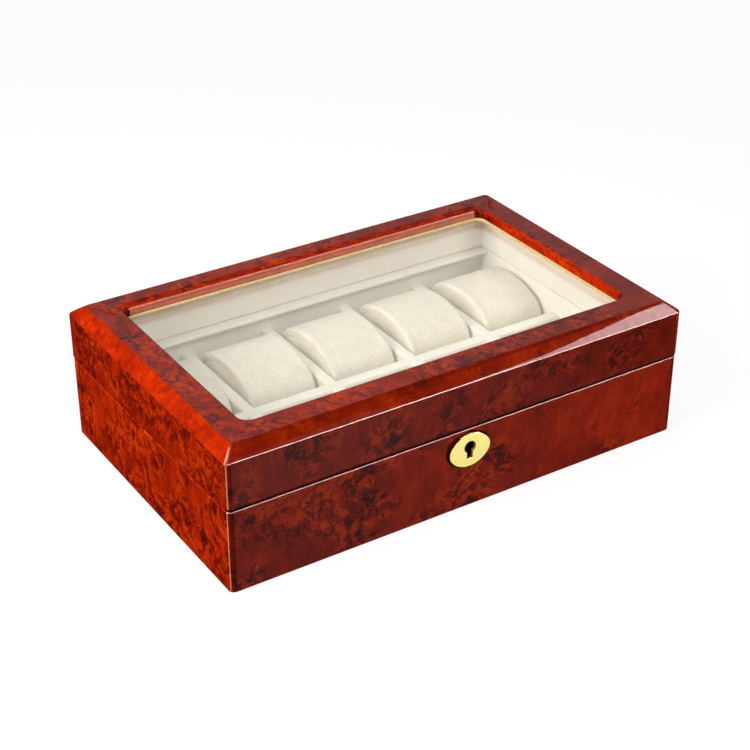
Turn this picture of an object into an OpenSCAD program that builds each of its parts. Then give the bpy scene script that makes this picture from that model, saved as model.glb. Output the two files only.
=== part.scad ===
// Watch box: a lacquered wooden case with a glass lid, ten velour compartments with lift-out
// cushions, a box lock and two stop hinges.
// Frame: X along the length, Y from the front (-) to the back (+), Z up, origin under the middle.

/* [Box] */
// Length of the lid over its side boards
box_length = 330; // [250:1:420]
// Width of the lid from its front face to its back face
box_width = 210; // [170:1:260]
// Height of the base, up to the seam with the lid
base_height = 56; // [48:1:80]
// Height of the lid, from the seam to its top face
lid_height = 39; // [33:1:60]
// Thickness of the side boards
wall = 12; // [10:0.5:15]
// Radius of the upright corners
corner_radius = 4; // [1:0.5:8]
// How far the lid stands proud of the base on each side
lid_overhang = 0.3; // [0.2:0.1:1.5]
// Easing of the base's upper and lower edges
base_edge_radius = 0.8; // [0.4:0.1:2]
// Rounding of the lid's lower edge
lid_edge_radius = 2.2; // [0.5:0.1:4]

/* [Window] */
// Width of the frame round the window
frame_width = 26.5; // [20:0.5:36]
// Thickness of the frame rails over the glass
frame_thickness = 7.5; // [7.2:0.1:12]
// Width of the bevel round the top, seen from above
bevel_width = 8.8; // [4:0.1:12]
// Height of the bevel
bevel_height = 6.7; // [3:0.1:7]
// Radius of the window's corners
window_corner_radius = 7; // [2:0.5:12]
// Thickness of the glass pane
glass_thickness = 2; // [2:0.5:5]
// Gap between the pane's edge and the lid boards
glass_edge_gap = 0.5; // [0.2:0.1:1]

/* [Lining] */
// Thickness of the velour-covered lining boards in the base
lining_thickness = 4.4; // [2.5:0.1:6]
// How far the base lining stands above the seam
tongue_height = 1.6; // [1:0.1:5]
// Gap between the base lining and the lid lining above it
lining_gap = 0.5; // [0.3:0.1:1.5]
// Thickness of the bottom panel
bottom_thickness = 6; // [4:0.5:9]
// Thickness of the felt under the bottom panel
felt_thickness = 1.5; // [1:0.1:3]
// Thickness of the padded floor
floor_pad_thickness = 3; // [2:0.5:5]
// Depth of the ledge over the back of the compartments
ledge_depth = 7; // [6:0.5:12]
// Thickness of the ledge
ledge_thickness = 3; // [2:0.1:4]

/* [Compartments] */
// Thickness of the dividers
divider_thickness = 8.6; // [5:0.1:10]
// How far the dividers' tops lie below the seam
divider_drop = 12.8; // [8:0.1:16]

/* [Cushions] */
// Gap between a cushion's end and the dividers
cushion_end_gap = 2; // [1:0.1:4]
// Gap for the watch strap before and behind a cushion
cushion_strap_gap = 6; // [5:0.1:9]
// How far the cushions' tops lie below the seam
cushion_drop = 0.8; // [0:0.1:4]
// Gap under a cushion
cushion_floor_gap = 0.3; // [0.2:0.1:1]
// Radius of the cushion's narrow front and back
cushion_nose_radius = 18; // [12:0.5:20]
// Radius of the cushion's soft end edges
cushion_edge_radius = 5; // [2:0.5:8]

/* [Lock] */
// How far the middle of the keyhole's round head lies below the seam
key_drop = 11.7; // [10.5:0.1:16]
// Radius of the keyhole's round head
key_head_radius = 4; // [2.5:0.1:4.2]
// Width of the keyhole's slot
key_slot_width = 4; // [2:0.1:4.4]
// How far the slot reaches below the middle of the head
key_slot_drop = 8.3; // [6:0.1:9]
// How much wider the hole in the wood is, all round
key_hole_margin = 0.3; // [0.1:0.1:0.8]
// Width of the oval escutcheon
escutcheon_width = 30; // [24:0.5:36]
// Height of the oval escutcheon
escutcheon_height = 22.8; // [20:0.2:26]
// Thickness of the escutcheon
escutcheon_thickness = 2; // [1:0.1:3]
// Radius of the escutcheon's ends
escutcheon_end_radius = 8; // [6:0.5:10]
// Thickness of the lock's plates
lock_plate = 1.2; // [0.8:0.1:1.6]
// Width of the lock's plates on the rim and the back
lock_plate_width = 44; // [40:1:56]
// Width of the lock case
lock_case_width = 32; // [32:1:38]
// Height of the lock case below its cap plate
lock_case_height = 21; // [20:0.5:24]
// Depth of the lock case with its back plate
lock_case_depth = 7; // [6.6:0.1:7.6]
// Thickness of the lock case's walls
lock_case_wall = 1; // [0.6:0.1:1.2]
// Sideways travel of the bolt
bolt_throw = 4; // [3:0.5:4.5]
// Thickness of the bolt
bolt_thickness = 1.4; // [1:0.1:1.6]
// Height of the bolt's bar
bolt_bar_height = 2.4; // [1.8:0.1:2.8]
// Height of the bolt's fingers
finger_height = 2; // [1.6:0.1:2.4]
// Width of the posts that carry the fingers
post_width = 1.6; // [1.2:0.1:2]
// How far the bolt's bar runs past the right-hand loop
bar_tail = 3; // [2:0.1:4]
// Width of the notch that the key turns in
talon_width = 4.4; // [3.6:0.1:5]
// Depth of the notch that the key turns in
talon_height = 1.2; // [0.8:0.1:1.4]
// Width of the blocks that the bolt slides on
guide_width = 6; // [4:0.5:7]
// Height of the blocks that the bolt slides on
guide_height = 2; // [1.5:0.1:2.5]
// Radius of the pin that the key turns on
key_pin_radius = 1; // [0.7:0.1:1.4]
// How much shorter the link plate is than the lock's plates, at each end
link_plate_inset = 4; // [2:0.5:6]
// How far the link plate reaches before its loops
link_plate_margin = 1.2; // [0.8:0.1:1.6]
// Distance of each link plate loop from the middle
loop_offset = 7; // [7:0.5:8]
// Thickness of the loops
loop_thickness = 1.5; // [1.2:0.1:1.8]
// Width of the loops
loop_width = 3.4; // [3:0.1:3.6]
// How far the loops hang into the lock
loop_drop = 7; // [6.6:0.1:7.4]
// How far the middle of a loop's hole lies below the seam
loop_hole_drop = 4.5; // [4.2:0.1:4.8]
// Clearance round the bolt and the loops
lock_clearance = 0.35; // [0.2:0.05:0.4]

/* [Hinges] */
// Length of each hinge
hinge_length = 30; // [24:1:44]
// Distance of each hinge's middle from the box's end
hinge_inset = 65; // [50:1:100]
// How far the hinge pins stand out behind the lid
pin_proud = 0.6; // [0.4:0.1:0.8]
// Thickness of the hinge leaves
leaf_thickness = 1.5; // [1.2:0.1:2]
// How far a leaf reaches in from the pin
leaf_reach = 11.6; // [10.5:0.1:12]
// Radius of the hinge knuckles
knuckle_radius = 2.4; // [2:0.1:2.6]
// Radius of the hinge pins
pin_radius = 1; // [0.7:0.05:1.2]
// Running clearance of the pins in the knuckles
pin_clearance = 0.05; // [0.03:0.01:0.09]
// Gap round the knuckles and between them
hinge_gap = 0.3; // [0.2:0.05:0.4]
// How far the hinge heels stand out behind the pin
heel_reach = 3; // [2.6:0.1:3.4]
// Height of the hinge heels, above or below the pin
heel_height = 4.2; // [3.8:0.1:5]
// Thickness of the heels before the knuckles
heel_wall = 1.8; // [1.4:0.1:2.2]
// Angle at which the heels stop the lid
lid_stop_angle = 95; // [85:1:105]

/* [Screws] */
// Radius of the countersunk screw heads
screw_head_radius = 2.2; // [1.8:0.1:2.4]
// Radius of the screw shanks
screw_radius = 1.1; // [0.8:0.1:1.4]
// Length of the screws
screw_length = 8; // [6:0.5:9]
// Distance of a screw's head from the end of the plate it holds
screw_margin = 1; // [0.6:0.1:1.4]

/* [Hidden] */
$fn = 64;
CUT = 1;             // how far a cutter runs past what it cuts
FIT = 0.05;          // clearance of a screw in its hole
EASE = 0.5;          // how far outside a cushion its end roundings start
STOP_SLACK = 0.1;    // half of the angle left between the heels at the stop
FINGER_PLAY = 0.3;   // how much longer a bolt finger is than the bolt's travel
WELD = 0.5;          // how far a knuckle's web runs into its heel
HINGE_SCREW_SHIFT = 2; // how much further in than on other plates a leaf's screws lie
SIDES = ["front", "back", "left", "right"];
columns = 5;         // compartments in each of the two rows

wood = "#7a2a1c";
velour = "#e2d8c0";
cushion_cloth = "#ece5d0";
felt = "#2c2320";
brass = "#d9b85c";
steel = "#b9bcc0";
pane = "#cfe4e6";

// heights
seam_z = base_height;
top_z = base_height + lid_height;
rail_z = top_z - frame_thickness;
glass_z = rail_z - glass_thickness;
panel_z = felt_thickness;
lining_z = panel_z + bottom_thickness;
floor_z = lining_z + floor_pad_thickness;
tongue_z = seam_z + tongue_height;
divider_z = seam_z - divider_drop;

// plan sizes
base_length = box_length - 2 * lid_overhang;
base_width = box_width - 2 * lid_overhang;
base_inner_length = base_length - 2 * wall;
base_inner_width = base_width - 2 * wall;
lid_inner_length = box_length - 2 * wall;
lid_inner_width = box_width - 2 * wall;
room_length = base_inner_length - 2 * lining_thickness;
room_width = base_inner_width - 2 * lining_thickness;
window_length = box_length - 2 * frame_width;
window_width = box_width - 2 * frame_width;
cell_length = (room_length - (columns - 1) * divider_thickness) / columns;
cell_width = (room_width - divider_thickness) / 2;
cell_pitch = cell_length + divider_thickness;
half_lap_z = (floor_z + divider_z) / 2;

// cushions
cushion_length = cell_length - 2 * cushion_end_gap;
cushion_depth = cell_width - 2 * cushion_strap_gap;
cushion_z = floor_z + cushion_floor_gap;
cushion_height = seam_z - cushion_drop - cushion_z;

// lock
key_z = seam_z - key_drop;
base_front_y = -base_width / 2;
lock_back_y = base_front_y + wall;
lock_front_y = lock_back_y - lock_case_depth;
lock_plate_y = lock_back_y - lock_plate;
lock_chamber_y = lock_front_y + lock_case_wall;
lock_cap_z = seam_z - lock_plate;
lock_case_z = lock_cap_z - lock_case_height;
bolt_y = (lock_chamber_y + lock_plate_y) / 2;
loop_hole_z = seam_z - loop_hole_drop;
finger_length = bolt_throw + FINGER_PLAY;
bar_top_z = seam_z - loop_drop - lock_clearance;
bar_bottom_z = bar_top_z - bolt_bar_height;
guide_top_z = bar_bottom_z - lock_clearance;
link_plate_width = lock_plate_width - 2 * link_plate_inset;
link_plate_front_y = bolt_y - loop_width / 2 - link_plate_margin;
link_plate_back_y = -lid_inner_width / 2;
link_screw_x = link_plate_width / 2 - screw_head_radius - screw_margin;
lock_screw_x = (lock_case_width + lock_plate_width) / 4;

// hinges
hinge_offset = box_length / 2 - hinge_inset;
pin_y = box_width / 2 + pin_proud;
knuckle_length = hinge_length / 3;
heel_root = knuckle_radius + hinge_gap + heel_wall;
hinge_screw_y = pin_y - (heel_root + leaf_reach) / 2;
hinge_screw_x = hinge_length / 2 - screw_head_radius - screw_margin - HINGE_SCREW_SHIFT;
half_gap = hinge_gap / 2;
lid_spans = [[-knuckle_length / 2 + half_gap, knuckle_length / 2 - half_gap]];
base_spans = [[-hinge_length / 2, -knuckle_length / 2 - half_gap],
    [knuckle_length / 2 + half_gap, hinge_length / 2]];

// cross recess of the screws
recess_reach = 1.3;
recess_width = 0.6;
recess_depth = 0.7;

// ---- shared shapes ----

// A block between two corners
module block(low, high) translate(low) cube(high - low);

// A 2D outline drawn in Y and Z, carried along X with its middle at X = 0
module along_x(length) rotate([90, 0, 90]) linear_extrude(length, center = true) children();

// A 2D outline drawn in X and Z, carried along Y with its middle at Y = 0
module along_y(length) rotate([90, 0, 0]) linear_extrude(length, center = true) children();

module rounded_rectangle(length, width, radius) {
    square([length - 2 * radius, width], center = true);
    square([length, width - 2 * radius], center = true);
    for (x = [-1, 1], y = [-1, 1])
        translate([x * (length / 2 - radius), y * (width / 2 - radius)]) circle(radius);
}

// Four-arc oval: ends of end_radius, joined by two flatter arcs that touch them
module oval(width, height, end_radius) {
    end_x = width / 2 - end_radius;
    rise = height / 2 - end_radius;
    centre = (end_x * end_x - rise * rise) / (2 * rise);
    flat_radius = centre + height / 2;
    touch_x = end_x + end_radius * end_x / (flat_radius - end_radius);
    for (x = [-1, 1]) translate([x * end_x, 0]) circle(end_radius, $fn = 96);
    intersection() {
        translate([0, -centre]) circle(flat_radius, $fn = 160);
        translate([0, centre]) circle(flat_radius, $fn = 160);
        square([2 * touch_x, height], center = true);
    }
}

// What a rounded edge takes away from a corner at the origin that points to +x, +y
module edge_waste(radius) difference() {
    translate([-radius, -radius]) square(radius + CUT);
    translate([-radius, -radius]) circle(radius);
}

// Cuts a rounding all along the outer edge of a rectangle, at height z; up is 1 for an upper edge
module outer_edge_cut(length, width, radius, z, up) {
    for (side = [-1, 1]) {
        translate([0, side * width / 2, z]) along_x(length + 2 * CUT)
            scale([side, up]) edge_waste(radius);
        translate([side * length / 2, 0, z]) along_y(width + 2 * CUT)
            scale([side, up]) edge_waste(radius);
    }
}

// The part of a rectangle that one mitred board holds
module mitre_share(side, length, width) {
    turned = side == "left" || side == "right";
    far = turned ? length / 2 : width / 2;
    half = (turned ? width : length) / 2;
    angle = side == "front" ? 0 : side == "right" ? 90 : side == "back" ? 180 : 270;
    reach = min(far, half);
    rotate(angle) polygon([[-half - CUT, -far - CUT], [half + CUT, -far - CUT],
        [half - reach, -far + reach], [-half + reach, -far + reach]]);
}

// One mitred share of the children
module mitred(side, length, width) intersection() {
    children();
    translate([0, 0, -CUT]) linear_extrude(top_z + 2 * CUT) mitre_share(side, length, width);
}

// ---- screws ----

// Countersunk screw, head up at the origin, with clearance all round when it is a hole
module screw_body(clearance = 0) {
    head_height = screw_head_radius - screw_radius;
    translate([0, 0, -head_height])
        cylinder(head_height, screw_radius + clearance, screw_head_radius + clearance);
    translate([0, 0, -screw_length - clearance]) cylinder(screw_length, r = screw_radius + clearance);
}

module screw() difference() {
    screw_body();
    for (a = [0, 90]) rotate(a) cube([2 * recess_reach, recess_width, 2 * recess_depth], center = true);
}

module screw_hole() {
    screw_body(FIT);
    cylinder(CUT, r = screw_head_radius + FIT);
}

// Places of the screws, each turned so that its head faces out of the plate it holds
module at_lock_screws() for (x = [-1, 1], z = [0.25, 0.75])
    translate([x * lock_screw_x, lock_back_y, lock_case_z + z * lock_case_height])
        rotate([-90, 0, 0]) children();

module at_link_screws() for (x = [-1, 1])
    translate([x * link_screw_x, bolt_y, seam_z]) rotate([180, 0, 0]) children();

module at_hinge_screws(up) for (h = [-1, 1], x = [-1, 1])
    translate([h * hinge_offset + x * hinge_screw_x, hinge_screw_y, seam_z])
        rotate([up ? 0 : 180, 0, 0]) children();

// ---- keyhole and escutcheon ----

module keyhole(margin) {
    circle(key_head_radius + margin);
    translate([-key_slot_width / 2 - margin, -key_slot_drop - margin])
        square([key_slot_width + 2 * margin, key_slot_drop + margin]);
}

// The keyhole's outline, carried along Y from one plane to another
module keyhole_cut(y_low, y_high, margin)
    translate([0, (y_low + y_high) / 2, key_z]) along_y(y_high - y_low) keyhole(margin);

module escutcheon() color(brass) difference() {
    translate([0, base_front_y - escutcheon_thickness / 2,
        key_z + (key_head_radius - key_slot_drop) / 2])
        along_y(escutcheon_thickness)
            oval(escutcheon_width, escutcheon_height, escutcheon_end_radius);
    keyhole_cut(base_front_y - escutcheon_thickness - CUT, base_front_y + CUT, 0);
}

// ---- base boards ----

module lock_pocket() {
    block([-lock_case_width / 2, lock_front_y, lock_case_z],
        [lock_case_width / 2, lock_back_y + CUT, seam_z + CUT]);
    block([-lock_plate_width / 2, lock_plate_y, lock_case_z],
        [lock_plate_width / 2, lock_back_y + CUT, seam_z + CUT]);
    block([-lock_plate_width / 2, lock_front_y, lock_cap_z],
        [lock_plate_width / 2, lock_back_y + CUT, seam_z + CUT]);
    keyhole_cut(base_front_y - CUT, lock_front_y + CUT, key_hole_margin);
    at_lock_screws() screw_hole();
}

// Room for the two leaves of one side: up is 1 in the lid and -1 in the base
module hinge_pockets(up) for (h = [-1, 1]) translate([h * hinge_offset, pin_y, seam_z])
    scale([1, 1, up]) {
        block([-hinge_length / 2, -leaf_reach, -CUT], [hinge_length / 2, CUT, leaf_thickness]);
        block([-hinge_length / 2, -heel_root, -CUT], [hinge_length / 2, heel_reach, heel_height]);
    }

module base_carcass() difference() {
    linear_extrude(base_height) rounded_rectangle(base_length, base_width, corner_radius);
    translate([0, 0, -CUT]) linear_extrude(base_height + 2 * CUT)
        square([base_inner_length, base_inner_width], center = true);
    outer_edge_cut(base_length, base_width, base_edge_radius, seam_z, 1);
    outer_edge_cut(base_length, base_width, base_edge_radius, 0, -1);
    lock_pocket();
    hinge_pockets(-1);
    at_hinge_screws(true) screw_hole();
}

module base_board(side) color(wood) mitred(side, base_length, base_width) base_carcass();

module bottom_panel() color("#8a6a4c")
    translate([0, 0, panel_z]) linear_extrude(bottom_thickness)
        square([base_inner_length, base_inner_width], center = true);

module underside_felt() color(felt) linear_extrude(felt_thickness)
    square([base_inner_length, base_inner_width], center = true);

// ---- linings and dividers ----

// One lining board of a ring that is butted at its corners, between two heights
module lining_board(side, room_l, room_w, thickness, low_z, high_z) {
    front = side == "front" || side == "back";
    sign = side == "front" || side == "left" ? -1 : 1;
    size = front ? [room_l + 2 * thickness, thickness] : [thickness, room_w];
    place = front ? [0, sign * (room_w + thickness) / 2] : [sign * (room_l + thickness) / 2, 0];
    translate([place.x, place.y, low_z]) linear_extrude(high_z - low_z) square(size, center = true);
}

module liner(side) color(velour)
    lining_board(side, room_length, room_width, lining_thickness, lining_z, tongue_z);

module lid_liner(side) color(velour) lining_board(side, room_length, room_width,
    lining_thickness + lid_overhang, tongue_z + lining_gap, glass_z);

module floor_pad() color(velour) translate([0, 0, lining_z]) linear_extrude(floor_pad_thickness)
    square([room_length, room_width], center = true);

// X of the cross divider with number i, from the left
function divider_x(i) = (i - columns / 2) * cell_pitch;

// Long divider, notched from below for the cross dividers
module long_divider() color(velour) difference() {
    block([-room_length / 2, -divider_thickness / 2, floor_z],
        [room_length / 2, divider_thickness / 2, divider_z]);
    for (i = [1:columns - 1])
        block([divider_x(i) - divider_thickness / 2, -divider_thickness, floor_z - CUT],
            [divider_x(i) + divider_thickness / 2, divider_thickness, half_lap_z]);
}

// Cross divider, notched from above for the long one
module cross_divider(i) color(velour) difference() {
    block([divider_x(i) - divider_thickness / 2, -room_width / 2, floor_z],
        [divider_x(i) + divider_thickness / 2, room_width / 2, divider_z]);
    block([divider_x(i) - divider_thickness, -divider_thickness / 2, half_lap_z],
        [divider_x(i) + divider_thickness, divider_thickness / 2, divider_z + CUT]);
}

// Ledge along the back lining, with a round front edge
module back_ledge() color(velour)
    translate([0, room_width / 2, tongue_z - ledge_thickness / 2]) along_x(room_length) {
        translate([-ledge_depth + ledge_thickness / 2, 0]) circle(ledge_thickness / 2);
        translate([-ledge_depth + ledge_thickness / 2, -ledge_thickness / 2])
            square([ledge_depth - ledge_thickness / 2, ledge_thickness]);
    }

// ---- cushions ----

// Oval roll with soft ends: column from the left, row -1 in front and 1 behind
module cushion(column, row) color(cushion_cloth)
    translate([(column - (columns + 1) / 2) * cell_pitch, row * (cell_width + divider_thickness) / 2,
        cushion_z + cushion_height / 2])
        intersection() {
            along_x(cushion_length + 2 * CUT) oval(cushion_depth, cushion_height, cushion_nose_radius);
            along_y(cushion_depth + 2 * CUT) rounded_rectangle(cushion_length,
                cushion_height + 2 * EASE, cushion_edge_radius + EASE);
            linear_extrude(cushion_height + 2 * CUT, center = true)
                rounded_rectangle(cushion_length + 2 * EASE, cushion_depth + 2 * EASE,
                    cushion_edge_radius + EASE);
        }

// ---- lock ----

module lock_case() color(brass) difference() {
    union() {
        block([-lock_case_width / 2, lock_front_y, lock_case_z],
            [lock_case_width / 2, lock_back_y, lock_cap_z]);
        block([-lock_plate_width / 2, lock_plate_y, lock_case_z],
            [lock_plate_width / 2, lock_back_y, lock_cap_z]);
    }
    difference() {
        block([-lock_case_width / 2 + lock_case_wall, lock_chamber_y, lock_case_z + lock_case_wall],
            [lock_case_width / 2 - lock_case_wall, lock_plate_y, lock_cap_z + CUT]);
        for (x = [-1, 1]) bolt_guide(x);
    }
    keyhole_cut(lock_front_y - CUT, lock_chamber_y + CUT, key_hole_margin);
    at_lock_screws() screw_hole();
}

// Block that carries one end of the bolt's bar
module bolt_guide(x)
    translate([x * (lock_case_width / 2 - lock_case_wall - guide_width / 2), bolt_y, 0])
        block([-guide_width / 2, lock_chamber_y - bolt_y, guide_top_z - guide_height],
            [guide_width / 2, lock_plate_y - bolt_y, guide_top_z]);

module lock_cap_plate() color(brass) difference() {
    block([-lock_plate_width / 2, lock_front_y, lock_cap_z], [lock_plate_width / 2, lock_back_y, seam_z]);
    for (x = [-1, 1]) translate([x * loop_offset, bolt_y, lock_cap_z - CUT])
        linear_extrude(lock_plate + 2 * CUT)
            square([loop_thickness + 2 * lock_clearance, loop_width + 2 * lock_clearance], center = true);
}

module lock_key_pin() color(steel) translate([0, lock_plate_y, key_z])
    rotate([90, 0, 0]) cylinder(lock_plate_y - lock_chamber_y - lock_clearance, r = key_pin_radius);

module lock_screws() color(brass) at_lock_screws() screw();

// One finger of the bolt on its post, for the loop at x
module bolt_finger(x) {
    tip = x - loop_thickness / 2 - lock_clearance;
    block([tip - finger_length - post_width, -bolt_thickness / 2, loop_hole_z - finger_height / 2],
        [tip, bolt_thickness / 2, loop_hole_z + finger_height / 2]);
    block([tip - finger_length - post_width, -bolt_thickness / 2, bar_bottom_z],
        [tip - finger_length, bolt_thickness / 2, loop_hole_z]);
}

module lock_bolt() color(steel) translate([0, bolt_y, 0]) difference() {
    union() {
        for (x = [-1, 1]) bolt_finger(x * loop_offset);
        block([-loop_offset - loop_thickness / 2 - lock_clearance - finger_length - post_width,
            -bolt_thickness / 2, bar_bottom_z], [loop_offset + bar_tail, bolt_thickness / 2, bar_top_z]);
    }
    block([-talon_width / 2, -bolt_thickness, bar_bottom_z - CUT],
        [talon_width / 2, bolt_thickness, bar_bottom_z + talon_height]);
}

// Plate in the lid's lower edge with two loops that hang into the lock
module link_plate() color(brass) {
    difference() {
        block([-link_plate_width / 2, link_plate_front_y, seam_z],
            [link_plate_width / 2, link_plate_back_y, seam_z + lock_plate]);
        at_link_screws() screw_hole();
    }
    for (x = [-1, 1]) translate([x * loop_offset, bolt_y, 0]) difference() {
        block([-loop_thickness / 2, -loop_width / 2, seam_z - loop_drop],
            [loop_thickness / 2, loop_width / 2, seam_z]);
        block([-loop_thickness, -bolt_thickness / 2 - lock_clearance / 2,
            loop_hole_z - finger_height / 2 - lock_clearance],
            [loop_thickness, bolt_thickness / 2 + lock_clearance / 2,
            loop_hole_z + finger_height / 2 + lock_clearance]);
    }
}

module link_plate_screws() color(brass) at_link_screws() screw();

// ---- lid ----

module lid_side_ring() difference() {
    translate([0, 0, seam_z]) linear_extrude(rail_z - seam_z)
        rounded_rectangle(box_length, box_width, corner_radius);
    translate([0, 0, seam_z - CUT]) linear_extrude(lid_height + 2 * CUT)
        square([lid_inner_length, lid_inner_width], center = true);
    outer_edge_cut(box_length, box_width, lid_edge_radius, seam_z, -1);
    hinge_pockets(1);
    at_hinge_screws(false) screw_hole();
    block([-link_plate_width / 2, link_plate_front_y, seam_z - CUT],
        [link_plate_width / 2, link_plate_back_y + CUT, seam_z + lock_plate]);
    at_link_screws() screw_hole();
}

module lid_board(side) color(wood) mitred(side, box_length, box_width) lid_side_ring();

// What the bevel takes from a corner at the origin that points to +x, +y
module bevel_waste() polygon([[CUT, -bevel_height - CUT * bevel_height / bevel_width], [CUT, CUT],
    [-bevel_width - CUT * bevel_width / bevel_height, CUT]]);

module window_frame() difference() {
    translate([0, 0, rail_z]) linear_extrude(frame_thickness)
        rounded_rectangle(box_length, box_width, corner_radius);
    translate([0, 0, rail_z - CUT]) linear_extrude(frame_thickness + 2 * CUT)
        rounded_rectangle(window_length, window_width, window_corner_radius);
    for (side = [-1, 1]) {
        translate([0, side * box_width / 2, top_z]) along_x(box_length + 2 * CUT)
            scale([side, 1]) bevel_waste();
        translate([side * box_length / 2, 0, top_z]) along_y(box_width + 2 * CUT)
            scale([side, 1]) bevel_waste();
    }
}

module frame_rail(side) color(wood) mitred(side, box_length, box_width) window_frame();

module glass_pane() color(pane, 0.4) translate([0, 0, glass_z]) linear_extrude(glass_thickness)
    square([lid_inner_length - 2 * glass_edge_gap, lid_inner_width - 2 * glass_edge_gap], center = true);

// ---- hinges ----

// One barrel of a hinge between two X places
module knuckle(x_low, x_high) translate([x_low, 0, 0]) rotate([0, 90, 0])
    cylinder(x_high - x_low, r = knuckle_radius);

// The lid's leaf, with its pin axis on X: a plate, a heel that stops the lid, and the given knuckles
module leaf(spans) difference() {
    union() {
        difference() {
            along_x(hinge_length) {
                translate([-leaf_reach, 0]) square([leaf_reach, leaf_thickness]);
                heel_outline();
            }
            rotate([0, 90, 0]) cylinder(hinge_length + 2 * CUT, r = knuckle_radius + hinge_gap, center = true);
        }
        for (span = spans) {
            knuckle(span[0], span[1]);
            block([span[0], -knuckle_radius - hinge_gap - WELD, 0], [span[1], 0, leaf_thickness]);
        }
    }
    rotate([0, 90, 0]) cylinder(hinge_length + 2 * CUT, r = pin_radius + pin_clearance, center = true);
    for (x = [-1, 1]) translate([x * hinge_screw_x, hinge_screw_y - pin_y, 0])
        rotate([180, 0, 0]) screw_hole();
}

// Heel section: a block over the pin whose outer face lies on half of the stop angle
module heel_outline() {
    half = lid_stop_angle / 2 + STOP_SLACK;
    polygon([[-heel_root, 0], [0, 0], [heel_reach, heel_reach * tan(half)],
        [heel_reach, heel_height], [-heel_root, heel_height]]);
}

module hinge_lid_leaf(h) color(brass) translate([h * hinge_offset, pin_y, seam_z]) leaf(lid_spans);

module hinge_base_leaf(h) color(brass) translate([h * hinge_offset, pin_y, seam_z])
    mirror([0, 0, 1]) leaf(base_spans);

module hinge_pins() color(brass) for (h = [-1, 1]) translate([h * hinge_offset, pin_y, seam_z])
    rotate([0, 90, 0]) cylinder(hinge_length, r = pin_radius, center = true);

module hinge_base_screws() color(brass) at_hinge_screws(true) screw();

module hinge_lid_screws() color(brass) at_hinge_screws(false) screw();

// ---- the whole box ----

for (side = SIDES) {
    base_board(side);
    liner(side);
    lid_board(side);
    frame_rail(side);
    lid_liner(side);
}
for (i = [1:columns - 1]) cross_divider(i);
for (i = [1:columns]) {
    cushion(i, -1);
    cushion(i, 1);
}
bottom_panel();
underside_felt();
floor_pad();
long_divider();
back_ledge();
escutcheon();
lock_case();
lock_cap_plate();
lock_key_pin();
lock_screws();
lock_bolt();
hinge_base_leaf(-1);  // hinge_base_leaf_left
hinge_base_leaf(1);  // hinge_base_leaf_right
hinge_pins();
hinge_base_screws();
glass_pane();
link_plate();
link_plate_screws();
hinge_lid_leaf(-1);  // hinge_lid_leaf_left
hinge_lid_leaf(1);  // hinge_lid_leaf_right
hinge_lid_screws();
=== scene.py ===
# %% [markdown]
# # A watch box in red burl lacquer
# The box is a carcass of 12 mm boards under veneer and thick polyester lacquer. Its lid is a frame
# with a glass pane. Inside, velour-covered boards make ten compartments, and each holds a soft
# cushion that a watch is strapped round. A box lock sits behind a brass escutcheon.
#
# The CAD model comes first, and gives every place. All lengths in this lesson are written in
# millimetres and turned into metres at the last moment, because the frame is in metres.

# %% The frame
import math
from contextlib import contextmanager

import bmesh
import bpy
from mathutils import Matrix, Vector, noise
from mathutils.bvhtree import BVHTree


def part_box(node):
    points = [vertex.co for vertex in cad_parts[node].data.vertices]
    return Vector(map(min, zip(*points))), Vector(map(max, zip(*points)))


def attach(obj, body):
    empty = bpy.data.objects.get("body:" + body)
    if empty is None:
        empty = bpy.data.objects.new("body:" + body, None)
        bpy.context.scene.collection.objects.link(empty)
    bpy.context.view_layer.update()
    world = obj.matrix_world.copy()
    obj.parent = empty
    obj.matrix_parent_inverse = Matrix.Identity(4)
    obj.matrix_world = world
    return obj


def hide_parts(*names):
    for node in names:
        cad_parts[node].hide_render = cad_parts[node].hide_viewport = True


MM = 0.001
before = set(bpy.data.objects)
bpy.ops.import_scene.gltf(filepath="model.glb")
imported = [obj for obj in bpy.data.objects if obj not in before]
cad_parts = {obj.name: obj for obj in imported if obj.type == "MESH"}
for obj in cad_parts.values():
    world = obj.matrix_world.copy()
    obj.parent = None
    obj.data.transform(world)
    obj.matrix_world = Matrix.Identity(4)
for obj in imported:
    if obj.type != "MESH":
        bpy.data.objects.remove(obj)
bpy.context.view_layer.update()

# %% [markdown]
# ## The camera
# A long lens from the front left, 30 degrees above the table, shows the front, the left side and
# the window. Its axes are worked out from its azimuth and elevation, so that no rotation has to
# be guessed.

# %% Camera
AZIMUTH, ELEVATION = math.radians(-32.687), math.radians(30.474)
DISTANCE, LENS, SENSOR = 1118.8, 82.6, 36.0
right = Vector((math.cos(AZIMUTH), math.sin(AZIMUTH), 0))
back = Vector((math.sin(AZIMUTH) * math.cos(ELEVATION), -math.cos(AZIMUTH) * math.cos(ELEVATION),
               math.sin(ELEVATION)))
up = back.cross(right)
target = Vector((0, 0, 40)) + 0.15 * right + 1.662 * up

camera_data = bpy.data.cameras.new("camera")
camera_data.lens, camera_data.sensor_width = LENS, SENSOR
camera_data.sensor_fit = "HORIZONTAL"
camera_data.clip_start = 0.01
camera = bpy.data.objects.new("camera", camera_data)
camera.matrix_world = Matrix.Translation((target + DISTANCE * back) * MM) @ Matrix(
    (right, up, back)).transposed().to_4x4()
bpy.context.scene.collection.objects.link(camera)
bpy.context.scene.camera = camera
print("camera at", [round(c, 3) for c in camera.location])

# %% [markdown]
# ## Helpers
# `add` puts one node into any tree, with its settings and links, for geometry and for materials.
# `from_points`, `editing` and `baked` make a mesh of points, of bmesh operators and of modifiers,
# and `settle` lets the finished piece ride on its CAD body.

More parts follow.
